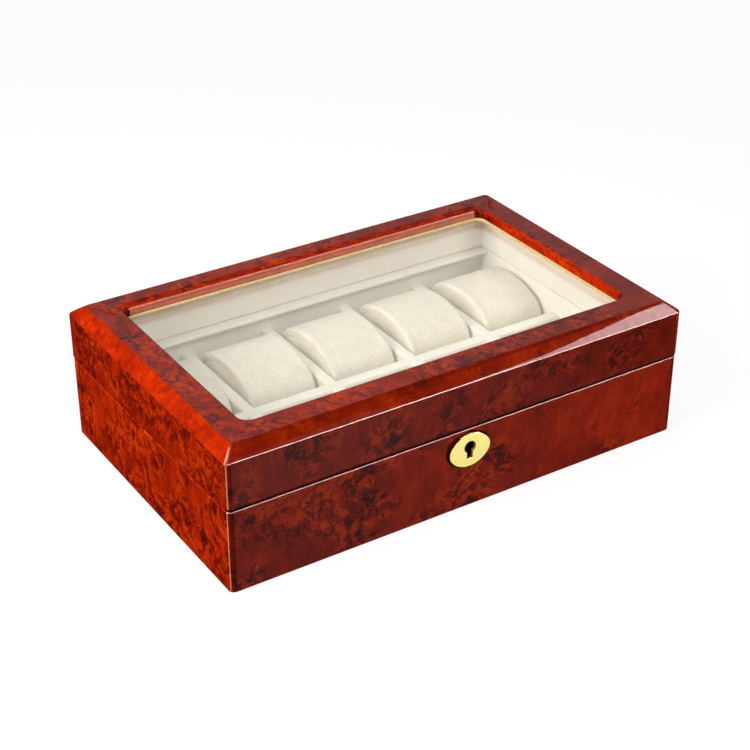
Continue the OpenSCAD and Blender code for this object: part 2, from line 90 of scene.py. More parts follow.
# %% One node at a time
def linear(hex_colour):
    """A colour written as sRGB hex, as the linear red, green, blue and alpha of a node."""
    parts = [int(hex_colour[i:i + 2], 16) / 255 for i in (1, 3, 5)]
    return [c / 12.92 if c <= 0.04045 else ((c + 0.055) / 1.055) ** 2.4 for c in parts] + [1.0]


def add(tree, kind, links=(), stops=None, **settings):
    """Add a node, or a Math node if kind is an operation in capitals. links gives inputs a value, a hex
    colour, a node or an output: by name or number in a dict, or in order. stops fill a colour ramp."""
    if kind.isupper():
        kind, settings = "ShaderNodeMath", {"operation": kind}
    node = tree.nodes.new(kind)
    for name, value in settings.items():
        setattr(node, name, value)
    for key, value in links.items() if isinstance(links, dict) else enumerate(links):
        if isinstance(value, bpy.types.Node):
            value = value.outputs[0]
        if isinstance(value, bpy.types.NodeSocket):
            tree.links.new(value, node.inputs[key])
        else:
            node.inputs[key].default_value = linear(value) if str(value).startswith("#") else value
    if stops:
        elements = node.color_ramp.elements
        while len(elements) < len(stops):
            elements.new(0.5)
        for element, (place, colour) in zip(elements, stops):
            element.position, element.color = place, linear(colour)
    return node


# %% Pieces
def from_mesh(name, mesh):
    piece = bpy.data.objects.new(name, mesh)
    bpy.context.scene.collection.objects.link(piece)
    return piece


def from_points(name, corners, faces=()):
    """A piece from corners in millimetres, and from faces that list them by number."""
    mesh = bpy.data.meshes.new(name)
    mesh.from_pydata([Vector(c) * MM for c in corners], [], faces)
    return from_mesh(name, mesh)


@contextmanager
def editing(piece):
    """The piece's mesh, opened for bmesh operators and written back after them."""
    work = bmesh.new()
    work.from_mesh(piece.data)
    yield work
    work.to_mesh(piece.data)
    work.free()


def coat(piece, material):
    """Give the whole piece one finish."""
    piece.data.materials.clear()
    piece.data.materials.append(material)


def on_circle(radius, degrees):
    """How far across and how far up a point on a circle lies from its middle."""
    angle = math.radians(degrees)
    return radius * math.cos(angle), radius * math.sin(angle)


def baked(piece):
    """What the piece's modifiers make of it, as a plain mesh."""
    bpy.context.view_layer.update()
    shape = piece.evaluated_get(bpy.context.evaluated_depsgraph_get())
    mesh = bpy.data.meshes.new_from_object(shape)
    piece.modifiers.clear()
    piece.data = mesh
    return piece


def smooth(piece, sharp_angle=35):
    """Smooth shading that keeps edges sharper than the angle."""
    piece.data.shade_smooth()
    piece.data.set_sharp_from_angle(angle=math.radians(sharp_angle))
    return piece


def settle(piece, body, slot, *nodes):
    """Let the piece ride on its body and stand for its CAD nodes. The slot is not used."""
    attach(piece, body)
    if nodes:
        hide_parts(*nodes)
    print(f"{piece.name}: {len(piece.data.polygons)} faces on {body}")
    return piece


# %% [markdown]
# ## Finishes
# Every finish is built from nodes on Object coordinates, which are metres here, so a Mapping node
# turns them into millimetres first. A pattern's scale can then be read as one over its size in mm.

# %% A material and its coordinates
def new_finish(name):
    """An empty material, its tree, and the piece's own coordinates in millimetres."""
    material = bpy.data.materials.new(name)
    material.use_nodes = True
    tree = material.node_tree
    tree.nodes.clear()
    place = add(tree, "ShaderNodeTexCoord").outputs["Object"]
    millimetres = add(tree, "ShaderNodeMapping", {"Vector": place, "Scale": (1000, 1000, 1000)})
    return material, tree, millimetres


def output(tree, shader):
    add(tree, "ShaderNodeOutputMaterial", {"Surface": shader})


# %% [markdown]
# ### Burl veneer under polyester lacquer
# Burl comes from a growth where the grain turns round hundreds of dormant buds. A bud shows as a
# dark eye of about 2 mm with rings round it, and eyes stand in clusters between calmer, cloudy
# wood. The veneer is stained red and lies under about a millimetre of clear polyester, polished
# until it mirrors.
#
# The cloud is noise that has been bent by other noise. Rings come from slicing a soft noise into
# bands, eyes from a Voronoi pattern, and a slow noise says where the clusters are. Each face of
# the box carries its own leaf of veneer, so a face attribute moves the pattern and sets its tone,
# which also paints light and shade; another face attribute paints pale highlight lines on edges.

# %% Burl lacquer
def burl_finish():
    material, tree, mm = new_finish("red_burl_polyester_lacquer")
    shift, tone_and_shade, polish, buds, painted_edge_highlight, right_end = [
        add(tree, "ShaderNodeAttribute", attribute_name=name).outputs[kind] for name, kind in (
            ("leaf_shift", "Vector"), ("leaf_tone_and_shade", "Fac"), ("leaf_polish", "Fac"),
            ("leaf_buds", "Fac"), ("painted_edge_highlight", "Fac"), ("right_end", "Vector"))]
    right_end = add(tree, "ShaderNodeSeparateXYZ", (right_end,)).outputs
    leaf = add(tree, "ShaderNodeVectorMath", (mm, shift), operation="ADD")

    def amount(place, size, detail=2.0, roughness=0.5):
        """Soft noise from 0 to 1 whose patches are about size mm wide."""
        return add(tree, "ShaderNodeTexNoise", {
            "Vector": place, "Scale": 1 / size, "Detail": detail, "Roughness": roughness}).outputs["Fac"]

    def bent(place, size, reach, detail):
        """The place, pushed about by noise of the given size."""
        push = add(tree, "ShaderNodeTexNoise", {"Vector": place, "Scale": 1 / size, "Detail": detail})
        centred = add(tree, "ShaderNodeVectorMath",
                      (push.outputs["Color"], (-0.5, -0.5, -0.5)), operation="ADD")
        return add(tree, "ShaderNodeVectorMath",
                   (centred, (reach, reach, reach), place), operation="MULTIPLY_ADD")

    # here a Map Range node is given a value, and then where its 0 and its 1 lie
    wide = bent(leaf, 30, 24, 2)
    curled = bent(wide, 9, 9, 3)
    along = add(tree, "ShaderNodeSeparateXYZ", (mm,)).outputs["X"]
    to_right = add(tree, "ShaderNodeMapRange", (along, -90, 150))
    calmer = add(tree, "MULTIPLY", (to_right, right_end[2]))
    clusters = add(tree, "SUBTRACT", (amount(leaf, 30, 2), calmer))
    in_cluster = add(tree, "ShaderNodeMapRange", (clusters, 0.39, 0.52))
    in_cluster = add(tree, "MULTIPLY", (in_cluster, buds))

    # eyes of 2.5 mm and pins of 1 mm, dark in the middle, each with rings that swirl round it
    eye, rings = 0.0, 0.0
    gently = bent(leaf, 10, 5, 2)
    for size, core, edge, share in ((8.5, 0.08, 0.2, 0.3), (4.5, 0.06, 0.26, 0.62)):
        cells = add(tree, "ShaderNodeTexVoronoi", {"Vector": gently, "Scale": 1 / size})
        lot = add(tree, "ShaderNodeSeparateColor", {"Color": cells.outputs["Color"]})
        kept = add(tree, "GREATER_THAN", (lot, share))
        kept = add(tree, "MULTIPLY", (kept, in_cluster))
        far = cells.outputs["Distance"]
        dark = add(tree, "ShaderNodeMapRange", (far, edge, core))
        eye = add(tree, "MAXIMUM", (eye, add(tree, "MULTIPLY", (dark, kept))))
        wavy = add(tree, "MULTIPLY_ADD", (amount(leaf, 2.5, 2), 0.25, far))
        ring = add(tree, "PINGPONG", (add(tree, "MULTIPLY", (wavy, size * 0.9)), 0.5))
        fading = add(tree, "ShaderNodeMapRange", (far, 0.62, edge))
        fading = add(tree, "MULTIPLY", (fading, kept))
        rings = add(tree, "MULTIPLY_ADD", (ring, fading, rings))

    # curly fibres: thin lines along the contours of a soft noise
    contour = add(tree, "PINGPONG", (add(tree, "MULTIPLY", (amount(curled, 7, 1), 7.0)), 0.5))
    curls = add(tree, "ShaderNodeMapRange", (contour, 0.3, 0.5))
    dark_patch = add(tree, "ShaderNodeMapRange", (amount(curled, 6.5, 4, 0.6), 0.56, 0.42))
    dark_patch = add(tree, "MULTIPLY", (dark_patch, in_cluster))
    # hairs of 1 mm by 3 mm, and the silky bars of the calm wood, 5 mm wide and 30 mm high
    hair, bars = [amount(add(tree, "ShaderNodeVectorMath", (place, scale), operation="MULTIPLY"), 1.0, detail)
                  for place, scale, detail in ((curled, (1.3, 1.3, 0.35), 2), (wide, (0.2, 0.2, 0.035), 3))]
    busy = add(tree, "MULTIPLY_ADD", (in_cluster, 0.22, 0.1))
    hair, curls = [add(tree, "MULTIPLY", (fibre, busy)) for fibre in (hair, curls)]

    level = add(tree, "MULTIPLY_ADD", (amount(wide, 24, 3), 0.55, 0.26))
    for part, weight in ((bars, 0.3), (hair, 1.0), (curls, 0.7), (dark_patch, -0.36), (rings, 0.32),
                         (along, 0.0001)):
        level = add(tree, "MULTIPLY_ADD", (part, weight, level))
    wood = add(tree, "ShaderNodeValToRGB", {"Fac": level}, stops=[
        (0.4, "#430A05"), (0.56, "#761506"), (0.7, "#A32105"), (0.84, "#C52E05"), (1.0, "#DE470B")])
    # tone and polish change along the leaf, up to what its right end says
    changes = [add(tree, "ShaderNodeMapRange", {"Value": to_right, "To Min": 1.0, "To Max": share})
               for share in right_end[:2]]
    tone_and_shade, polish = [add(tree, "MULTIPLY", pair) for pair in zip((tone_and_shade, polish), changes)]
    # a Mix node takes its two colours at inputs 6 and 7
    eyed = add(tree, "ShaderNodeMix", {0: add(tree, "MULTIPLY", (eye, 0.9)), 6: wood, 7: "#260502"},
               data_type="RGBA")
    toned = add(tree, "ShaderNodeMix", {0: 1.0, 6: eyed.outputs[2], 7: tone_and_shade},
                data_type="RGBA", blend_type="MULTIPLY")
    # painted highlight: along chosen edges a pale salmon is mixed in, for the lamps' line on the rounding
    highlighted = add(tree, "ShaderNodeMix", {0: painted_edge_highlight, 6: toned.outputs[2], 7: "#F09C82"}, data_type="RGBA")

    relief = add(tree, "ShaderNodeBump", {"Strength": 0.25, "Distance": 0.0002, "Height": level})
    peel = add(tree, "ShaderNodeTexNoise", {"Vector": mm, "Scale": 1 / 9, "Detail": 1})
    flow = add(tree, "ShaderNodeBump",
               {"Strength": 0.04, "Distance": 0.0005, "Height": peel.outputs["Fac"]})
    matt = add(tree, "ShaderNodeMapRange", {"Value": level, "To Min": 0.55, "To Max": 0.4})
    output(tree, add(tree, "ShaderNodeBsdfPrincipled", {
        "Base Color": highlighted.outputs[2], "Roughness": matt, "Normal": relief,
        "Specular IOR Level": 0.0, "Coat Weight": polish, "Coat Roughness": 0.015, "Coat IOR": 1.52,
        "Coat Normal": flow}))
    return material


burl = burl_finish()
print("made", burl.name)


# %% [markdown]
# ### Velour and velvet
# The linings are velour glued over card: a short, even nap whose tone shifts where it was brushed.
# The cushions are velvet over foam, a shade deeper. The nap is finer than a pixel, so it is drawn at
# about 1 mm, where it still shows as grain. Sheen lightens the cloth at glancing angles. The felt
# under the box and the bead of sealant round the pane are matt in the same way.

# %% Cloth finishes
def nap_finish(name, pale, deep, patch, grain, sheen):
    material, tree, mm = new_finish(name)
    brushed = add(tree, "ShaderNodeTexNoise", {"Vector": mm, "Scale": 1 / patch, "Detail": 3})
    tufts = add(tree, "ShaderNodeTexNoise", {"Vector": mm, "Scale": 1 / grain, "Detail": 2})
    blend = add(tree, "MULTIPLY_ADD", (brushed.outputs["Fac"], 0.4, tufts.outputs["Fac"]))
    share = add(tree, "ShaderNodeMapRange", {"Value": blend, "From Min": 0.5, "From Max": 0.9})
    cloth = add(tree, "ShaderNodeMix", {0: share, 6: deep, 7: pale}, data_type="RGBA")
    nap = add(tree, "ShaderNodeBump",
              {"Strength": 0.8, "Distance": 0.0005, "Height": tufts.outputs["Fac"]})
    rough = add(tree, "ShaderNodeMapRange",
                {"Value": tufts.outputs["Fac"], "To Min": 0.8, "To Max": 0.95})
    output(tree, add(tree, "ShaderNodeBsdfPrincipled", {
        "Base Color": cloth.outputs[2], "Roughness": rough, "Normal": nap,
        "Specular IOR Level": 0.0, "Sheen Weight": sheen, "Sheen Roughness": 0.45}))
    return material


velour = nap_finish("cream_velour", "#FBF6EA", "#F1E9DA", 14, 0.9, 0.2)
velvet = nap_finish("ivory_velvet", "#F2ECDB", "#E0D7BF", 10, 1.0, 0.2)
felt = nap_finish("brown_wool_felt", "#4A3A30", "#2C221C", 6, 1.1, 0.1)
print("made", velour.name, velvet.name, felt.name)


# %% [markdown]
# ### Metals, plywood and glass
# Polished brass is bright yellow and mirrors, with the faintest polishing haze. The bolt and the
# key pin are turned steel. The bottom panel is plain plywood. The pane is float glass: it mirrors
# and bends what the eye sees, and it lets lamps through, so that the lining is lit as in a room.

# %% Metals
def metal_finish(name, bright, dull, roughness, streak):
    """A face attribute from 0 to 1 paints light and shade on edges in place of the mirror: about 0.15 to 0.3
    a pale or orange painted highlight, 1 dark painted shade and a painted reflection of the wood.
    """
    material, tree, mm = new_finish(name)
    stretched = add(tree, "ShaderNodeVectorMath", (mm, streak), operation="MULTIPLY")
    haze = add(tree, "ShaderNodeTexNoise", {"Vector": stretched, "Scale": 1.0, "Detail": 3})
    colour = add(tree, "ShaderNodeMix", {0: haze.outputs["Fac"], 6: bright, 7: dull}, data_type="RGBA")
    rough = add(tree, "ShaderNodeMapRange",
                {"Value": haze.outputs["Fac"], "To Min": roughness, "To Max": roughness * 2})
    shade = add(tree, "ShaderNodeAttribute", attribute_name="painted_edge_light").outputs["Fac"]
    edge = add(tree, "ShaderNodeValToRGB", {"Fac": shade}, stops=[
        (0.15, "#EBD27C"), (0.3, "#B8702E"), (0.6, "#8A7230"), (1.0, "#2A0906")])
    painted_over = add(tree, "GREATER_THAN", (shade, 0.1))
    surface = add(tree, "ShaderNodeMix", {0: painted_over, 6: colour.outputs[2], 7: edge}, data_type="RGBA")
    metallic = add(tree, "ShaderNodeMapRange",
                   {"Value": shade, "From Max": 0.3, "To Min": 1.0, "To Max": 0.0})
    output(tree, add(tree, "ShaderNodeBsdfPrincipled", {
        "Base Color": surface.outputs[2], "Metallic": metallic, "Roughness": rough,
        "Specular IOR Level": 0.1}))
    return material


brass = metal_finish("polished_brass", "#F8EE9C", "#E6D06A", 0.12, (0.15, 0.15, 2.0))
steel = metal_finish("turned_steel", "#C9CBCE", "#A5A8AC", 0.25, (2.0, 0.3, 0.3))
print("made", brass.name, steel.name)


# %% Plywood and glass
def plywood_finish():
    material, tree, mm = new_finish("birch_plywood")
    along = add(tree, "ShaderNodeVectorMath", (mm, (0.02, 0.5, 0.5)), operation="MULTIPLY")
    grain = add(tree, "ShaderNodeTexNoise", {"Vector": along, "Scale": 1.0, "Detail": 5})
    wood = add(tree, "ShaderNodeValToRGB", {"Fac": grain.outputs["Fac"]}, stops=[
        (0.35, "#8E6C48"), (0.65, "#B8946A")])
    ridges = add(tree, "ShaderNodeBump",
                 {"Strength": 0.3, "Distance": 0.0002, "Height": grain.outputs["Fac"]})
    rough = add(tree, "ShaderNodeMapRange",
                {"Value": grain.outputs["Fac"], "To Min": 0.6, "To Max": 0.8})
    output(tree, add(tree, "ShaderNodeBsdfPrincipled",
                     {"Base Color": wood, "Roughness": rough, "Normal": ridges}))
    return material


def glass_finish():
    material, tree, mm = new_finish("float_glass")
    wave = add(tree, "ShaderNodeTexNoise", {"Vector": mm, "Scale": 1 / 60})
    flat = add(tree, "ShaderNodeBump",
               {"Strength": 0.02, "Distance": 0.0005, "Height": wave.outputs["Fac"]})
    seen = add(tree, "ShaderNodeBsdfPrincipled", {
        "Base Color": "#FFFFFF", "Roughness": 0.0, "Transmission Weight": 1.0, "IOR": 1.45,
        "Normal": flat})
    open_glass = add(tree, "ShaderNodeBsdfTransparent", {"Color": "#FBFBF9"})
    path = add(tree, "ShaderNodeLightPath")
    lights = add(tree, "MAXIMUM", (path.outputs["Is Shadow Ray"], path.outputs["Is Diffuse Ray"]))
    output(tree, add(tree, "ShaderNodeMixShader", {0: lights, 1: seen, 2: open_glass}))
    return material


plywood, glass = plywood_finish(), glass_finish()
sealant = nap_finish("cream_silicone_sealant", "#E4CD9C", "#D0B27C", 8, 1.5, 0.0)
print("made", plywood.name, glass.name, sealant.name)

# %% [markdown]
# ## A profile carried round a box
# The base, the lid and their linings are one idea: a cross-section that goes once round a
# rectangle. A drawn outline would be enough for Curve to Mesh, but it folds over itself at an
# inner corner that is sharper than the outer one. So this tree places the points itself.
#
# The profile comes in as a chain of points, and each point says three things in its place: how
# far in it lies, how round its corner is, and how high it is. The tree makes a grid of chains,
# finds for each vertex which corner and which step of its arc it belongs to, and sets it there.
# Two extra steps beside each arc lie on the flat face, so that the flat faces shade as flat ones.

# %% The profile tree
ARC_STEPS = 16       # faces round one corner
BESIDE = 0.15        # how far beside a rounding, in mm, the flat face starts again
HOLD = BESIDE * MM


def geometry_tree(name, sizes):
    """An empty geometry tree with named inputs, and its first and last node."""
    tree = bpy.data.node_groups.new(name, "GeometryNodeTree")
    tree.interface.new_socket("Geometry", in_out="INPUT", socket_type="NodeSocketGeometry")
    tree.interface.new_socket("Geometry", in_out="OUTPUT", socket_type="NodeSocketGeometry")
    for size, kind in sizes:
        tree.interface.new_socket(size, in_out="INPUT", socket_type=kind)
    return tree, add(tree, "NodeGroupInput").outputs, add(tree, "NodeGroupOutput")


def set_material_and_end(tree, geometry, material, end):
    real = add(tree, "GeometryNodeRealizeInstances", {"Geometry": geometry})
    done = add(tree, "GeometryNodeSetMaterial", {"Geometry": real, "Material": material})
    tree.links.new(done.outputs[0], end.inputs[0])


def profile_tree():
    tree, given, end = geometry_tree("profile_round_a_box", [
        ("Length", "NodeSocketFloat"), ("Width", "NodeSocketFloat"),
        ("Material", "NodeSocketMaterial")])

    chain = given["Geometry"]
    points = add(tree, "GeometryNodeAttributeDomainSize", {"Geometry": chain}).outputs["Point Count"]
    closed = add(tree, "ADD", (points, 1.0))
    corner_points = ARC_STEPS + 3
    grid = add(tree, "GeometryNodeMeshGrid",
               {"Vertices X": 4 * corner_points + 1, "Vertices Y": closed}).outputs["Mesh"]

    # which chain, corner and step a vertex belongs to; the added 0.5 keeps the rounding down safe
    index = add(tree, "GeometryNodeInputIndex")
    turn = add(tree, "DIVIDE", (add(tree, "ADD", (index, 0.5)), closed))
    turn = add(tree, "FLOOR", (turn,))
    row = add(tree, "SUBTRACT", (index, add(tree, "MULTIPLY", (turn, closed))))
    corner = add(tree, "DIVIDE", (add(tree, "ADD", (turn, 0.5)), float(corner_points)))
    corner = add(tree, "FLOOR", (corner,))
    step = add(tree, "MULTIPLY", (corner, float(corner_points)))
    step = add(tree, "SUBTRACT", (turn, step))
    part = add(tree, "DIVIDE", (add(tree, "SUBTRACT", (step, 1.0)), float(ARC_STEPS)))
    part = add(tree, "ShaderNodeClamp", (part,))
    angle = add(tree, "MULTIPLY", (add(tree, "ADD", (corner, part)), math.pi / 2))
    across, along = [add(tree, operation, (angle,)) for operation in ("COSINE", "SINE")]
    middle = add(tree, "MULTIPLY", (add(tree, "ADD", (corner, 0.5)), math.pi / 2))
    side_x, side_y = [add(tree, "SIGN", (add(tree, operation, (middle,)),))
                      for operation in ("COSINE", "SINE")]
    after, before = (step, corner_points - 1.5), (step, 0.5)
    beyond = add(tree, "SUBTRACT", (add(tree, "GREATER_THAN", after), add(tree, "LESS_THAN", before)))
    hold = add(tree, "MULTIPLY", (beyond, HOLD))

    # what the profile says for this row
    sampled = add(tree, "GeometryNodeSampleIndex", {
        "Geometry": chain, "Value": add(tree, "GeometryNodeInputPosition").outputs[0],
        "Index": add(tree, "MODULO", (row, points))}, data_type="FLOAT_VECTOR", domain="POINT")
    inset, radius, height = add(tree, "ShaderNodeSeparateXYZ", (sampled,)).outputs[:3]

    def place(size, side, arc, slide):
        to_centre = add(tree, "SUBTRACT", (add(tree, "DIVIDE", (size, 2.0)), inset))
        to_centre = add(tree, "SUBTRACT", (to_centre, radius))
        on_arc = add(tree, "MULTIPLY_ADD", (radius, arc, add(tree, "MULTIPLY", (side, to_centre))))
        return add(tree, "ADD", (on_arc, add(tree, "MULTIPLY", (hold, slide))))

    backwards = add(tree, "MULTIPLY", (along, -1.0))
    position = add(tree, "ShaderNodeCombineXYZ", (
        place(given["Length"], side_x, across, backwards),
        place(given["Width"], side_y, along, across), height))
    placed = add(tree, "GeometryNodeSetPosition", {"Geometry": grid, "Position": position})
    joined = add(tree, "GeometryNodeMergeByDistance", {"Geometry": placed, "Distance": 1e-6})
    set_material_and_end(tree, joined, given["Material"], end)
    return tree


round_a_box = profile_tree()
print("profile tree:", len(round_a_box.nodes), "nodes")


# %% Using the profile tree
def run_tree(piece, tree, **values):
    """Give the piece the tree's shape. Inputs are set by their identifiers before it first runs."""
    modifier = piece.modifiers.new(tree.name, "NODES")
    modifier.node_group = tree
    for socket in tree.interface.items_tree:
        if socket.in_out == "INPUT" and socket.name in values:
            modifier[socket.identifier] = values[socket.name]
    return baked(piece)


def arc(inset, height, radius, start, stop, steps, corner):
    """Points of a rounding, as (inset, corner radius, height); corner turns an inset into a radius."""
    points = []
    for i in range(steps + 1):
        across, up = on_circle(radius, start + (stop - start) * i / steps)
        points.append((inset + across, corner(inset + across), height + up))
    return points


def carried(name, profile, length, width, material):
    """The profile carried round a box of that length and width, as a smooth closed piece."""
    piece = run_tree(from_points(name, profile), round_a_box,
                     Length=length * MM, Width=width * MM, Material=material)
    with editing(piece) as work:
        bmesh.ops.dissolve_degenerate(work, edges=work.edges, dist=1e-7)
        bmesh.ops.recalc_face_normals(work, faces=work.faces)
    return smooth(piece)


# %% [markdown]
# ## The lacquered base
# The base is a ring of boards with no joint to be seen, because one veneer and one coat of lacquer
# cover them all. Its outer corner has a radius of 4 mm and its inner one is square. The lacquer
# softens each edge by 0.8 mm. It is cut out for the lock, the keyhole and the hinges, where the
# CAD nodes say they are.

# %% Sizes that the boards share
BOX_LENGTH, BOX_WIDTH = 330.0, 210.0
WALL, OVERHANG, CORNER = 12.0, 0.3, 4.0
SEAM, TOP, FRAME = 56.0, 95.0, 26.5
BACK_STRIP = 7.0     # width of the calm strip along the window, on the back rail
SIDES = ("front", "back", "left", "right")
BASE_LENGTH, BASE_WIDTH = BOX_LENGTH - 2 * OVERHANG, BOX_WIDTH - 2 * OVERHANG
print(f"lid {BOX_LENGTH} x {BOX_WIDTH} mm over a base of {BASE_LENGTH} x {BASE_WIDTH} mm")


def outer_corner(inset):
    return max(CORNER - inset, 0.0)


def cut(piece, cutters):
    """Take closed meshes out of the piece, each given as corners and faces in millimetres."""
    for corners, faces in cutters:
        cutter = from_points("cutter", corners, faces)
        boolean = piece.modifiers.new("cut", "BOOLEAN")
        boolean.operation, boolean.solver, boolean.object = "DIFFERENCE", "EXACT", cutter
        baked(piece)
        bpy.data.objects.remove(cutter)
    coat(piece, burl)
    piece.data.polygons.foreach_set("material_index", [0] * len(piece.data.polygons))
    smooth(piece)


def cutting_box(low, high):
    corners = [(x, y, z) for x in (low[0], high[0]) for y in (low[1], high[1]) for z in (low[2], high[2])]
    return corners, [(0, 1, 3, 2), (4, 6, 7, 5), (0, 4, 5, 1), (2, 3, 7, 6), (0, 2, 6, 4), (1, 5, 7, 3)]


def node_box(node):
    """Lowest and highest corner of a CAD node, in millimetres."""
    low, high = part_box(node)
    return [c / MM for c in low], [c / MM for c in high]


# %% Cutters for the keyhole, the lock and the hinges
KEY_Z, KEY_RADIUS, KEY_SLOT, KEY_DROP = 44.3, 4.3, 4.6, 8.6
NEAR_KEY = 9.0       # what lies within this of its middle and looks sideways is the keyhole's wall


def keyhole_cutter(front, behind):
    half = KEY_SLOT / 2
    first = math.asin(half / KEY_RADIUS)
    outline = [(-half, -KEY_DROP), (half, -KEY_DROP)]
    for i in range(29):
        angle = -math.pi / 2 + first + (2 * math.pi - 2 * first) * i / 28
        outline.append((KEY_RADIUS * math.cos(angle), KEY_RADIUS * math.sin(angle)))
    count = len(outline)
    corners = [(x, y, KEY_Z + z) for y in (front, behind) for x, z in outline]
    faces = [tuple(range(count)), tuple(reversed(range(count, 2 * count)))]
    faces += [(i, count + i, count + (i + 1) % count, (i + 1) % count) for i in range(count)]
    return corners, faces


case_low, case_high = node_box("lock_case")
cap_low, cap_high = node_box("lock_cap_plate")
CASE_HALF, PLATE = 16.0, 1.2
LEAF_DEEP, HEEL_DEEP, HEEL_LONG = 1.5, 4.2, 7.5
lock_cutters = [
    cutting_box((-CASE_HALF, case_low[1], case_low[2]), (CASE_HALF, case_high[1] + 1, SEAM + 1)),
    cutting_box((case_low[0], case_high[1] - PLATE, case_low[2]), (case_high[0], case_high[1] + 1, SEAM + 1)),
    cutting_box((cap_low[0], cap_low[1], SEAM - PLATE), (cap_high[0], cap_high[1] + 1, SEAM + 1)),
    keyhole_cutter(-BASE_WIDTH / 2 - 1, case_low[1] + 1)]


def hinge_cutters(half, up):
    """Room for the two leaves of one half: a thin one for the leaf and a deep one for the heel."""
    cutters = []
    for side in ("left", "right"):
        low, high = node_box(f"hinge_{half}_leaf_{side}")
        for y_from, deep in ((low[1], LEAF_DEEP), (high[1] - HEEL_LONG, HEEL_DEEP)):
            z = sorted((SEAM - up, SEAM + up * deep))
            cutters.append(cutting_box((low[0], y_from, z[0]), (high[0], BOX_WIDTH / 2 + 5, z[1])))
    return cutters


print(len(lock_cutters), "cutters for the lock and its keyhole")


# %% [markdown]
# Each face gets its own leaf of veneer. The leaf is found from the way a face points: a rounding
# belongs to the face that it turns towards. The leaf's shift and tone are stored on the faces,
# where the finish reads them. The tones also paint light and shade: the front leaves are darker and
# the left bevel paler than one stain would make them. A table of heights gives the roundings values
# of their own: pale lines there are painted highlights, dark, dull bands are painted shade, as in
# the groove above the seam, and a few carry a thicker coat that really mirrors the lamps.

# %% Leaves of veneer
def side_of(face):
    """A name for where a face looks, seen from above. Round the front left corner they go front,
    beside, corner, turn and left; end is the front's other corner; inner_ is towards the window."""
    across, along = abs(face.normal.x), abs(face.normal.y)
    if max(across, along) < 0.1:
        past_window = face.center.y / MM - (BOX_WIDTH / 2 - FRAME)
        return "back_strip" if 0 < past_window < BACK_STRIP else "flat"
    if face.normal.x * face.center.x + face.normal.y * face.center.y < 0:
        if min(across, along) > 0.3 * max(across, along):
            return "inner_corner"
        if across > along:
            return "inner_right" if face.normal.x < 0 else "inner_left"
        return "inner_back" if face.normal.y < 0 else "inner_front"
    if face.normal.x < 0 and face.normal.y < 0 and 0.5 * across < along < 0.8 * across:
        return "turn"
    if min(across, along) > 0.8 * max(across, along):
        return "corner" if face.normal.x < 0 and face.normal.y < 0 else "far_corner"
    if across > along:
        return "left" if face.normal.x < 0 else "right"
    if across > 0.04 and face.normal.y < 0:
        return "beside" if face.normal.x < 0 else "end"
    return "front" if face.normal.y < 0 else "back"


def leaf(shift, tone_and_shade, polish, buds, right_tone=1, right_polish=1, calmer=0):
    """A leaf of veneer. shift, in mm, picks its place in the burl, and buds says how many eyes it has.
    The next two are the right end's share of the tone and polish, and calmer takes eyes away there."""
    return shift, tone_and_shade, polish, buds, (right_tone, right_polish, calmer)


def lay_veneer(piece, leaves, edges):
    """leaves: a direction to a leaf, and a face takes the leaf that it looks along most.
    edges: (sides, lowest z, highest z, tone, polish, highlight), for the roundings between those heights;
    there the tone paints shade and the highlight share paints a pale line."""
    vectors = ("leaf_shift", "right_end")
    values = {name: [] for name in (*vectors, "leaf_tone_and_shade", "leaf_polish", "leaf_buds", "painted_edge_highlight")}
    directions = [(Vector(d).normalized(), its_leaf) for d, its_leaf in leaves.items()]
    for face in piece.data.polygons:
        its_leaf = max(directions, key=lambda item: item[0].dot(face.normal))[1]
        moved, tone_and_shade, polish, buds, right_end = its_leaf
        side, highlight_share = side_of(face), 0.0
        from_key = math.hypot(face.center.x / MM, face.center.z / MM - KEY_Z)
        # painted shade: the keyhole's wooden wall is made nearly black and dull
        if from_key < NEAR_KEY and abs(face.normal.y) < 0.5:
            tone_and_shade, polish = 0.05, 0.0
        for sides, low, high, edge_tone_and_shade, edge_polish, edge_highlight_share in edges:
            if side in sides.split() and low < face.center.z / MM < high:
                tone_and_shade, polish, highlight_share = edge_tone_and_shade, edge_polish, edge_highlight_share
                right_end = (1, 1, 0)
        for given, value in zip(values.values(), (moved, right_end, [tone_and_shade], [polish], [buds], [highlight_share])):
            given += value
    for name, given in values.items():
        kind, field = ("FLOAT_VECTOR", "vector") if name in vectors else ("FLOAT", "value")
        piece.data.attributes.new(name, kind, "FACE").data.foreach_set(field, given)


TO_FRONT, TO_LEFT, TO_BACK, TO_RIGHT = (0, -1, 0), (-1, 0, 0), (0, 1, 0), (1, 0, 0)
UPWARDS, DOWNWARDS = (0, 0, 1), (0, 0, -1)
AROUND_IT = "front beside end turn corner left back right far_corner"
hidden_leaf = leaf((20, 90, 400), 0.4, 0.1, 0.5)


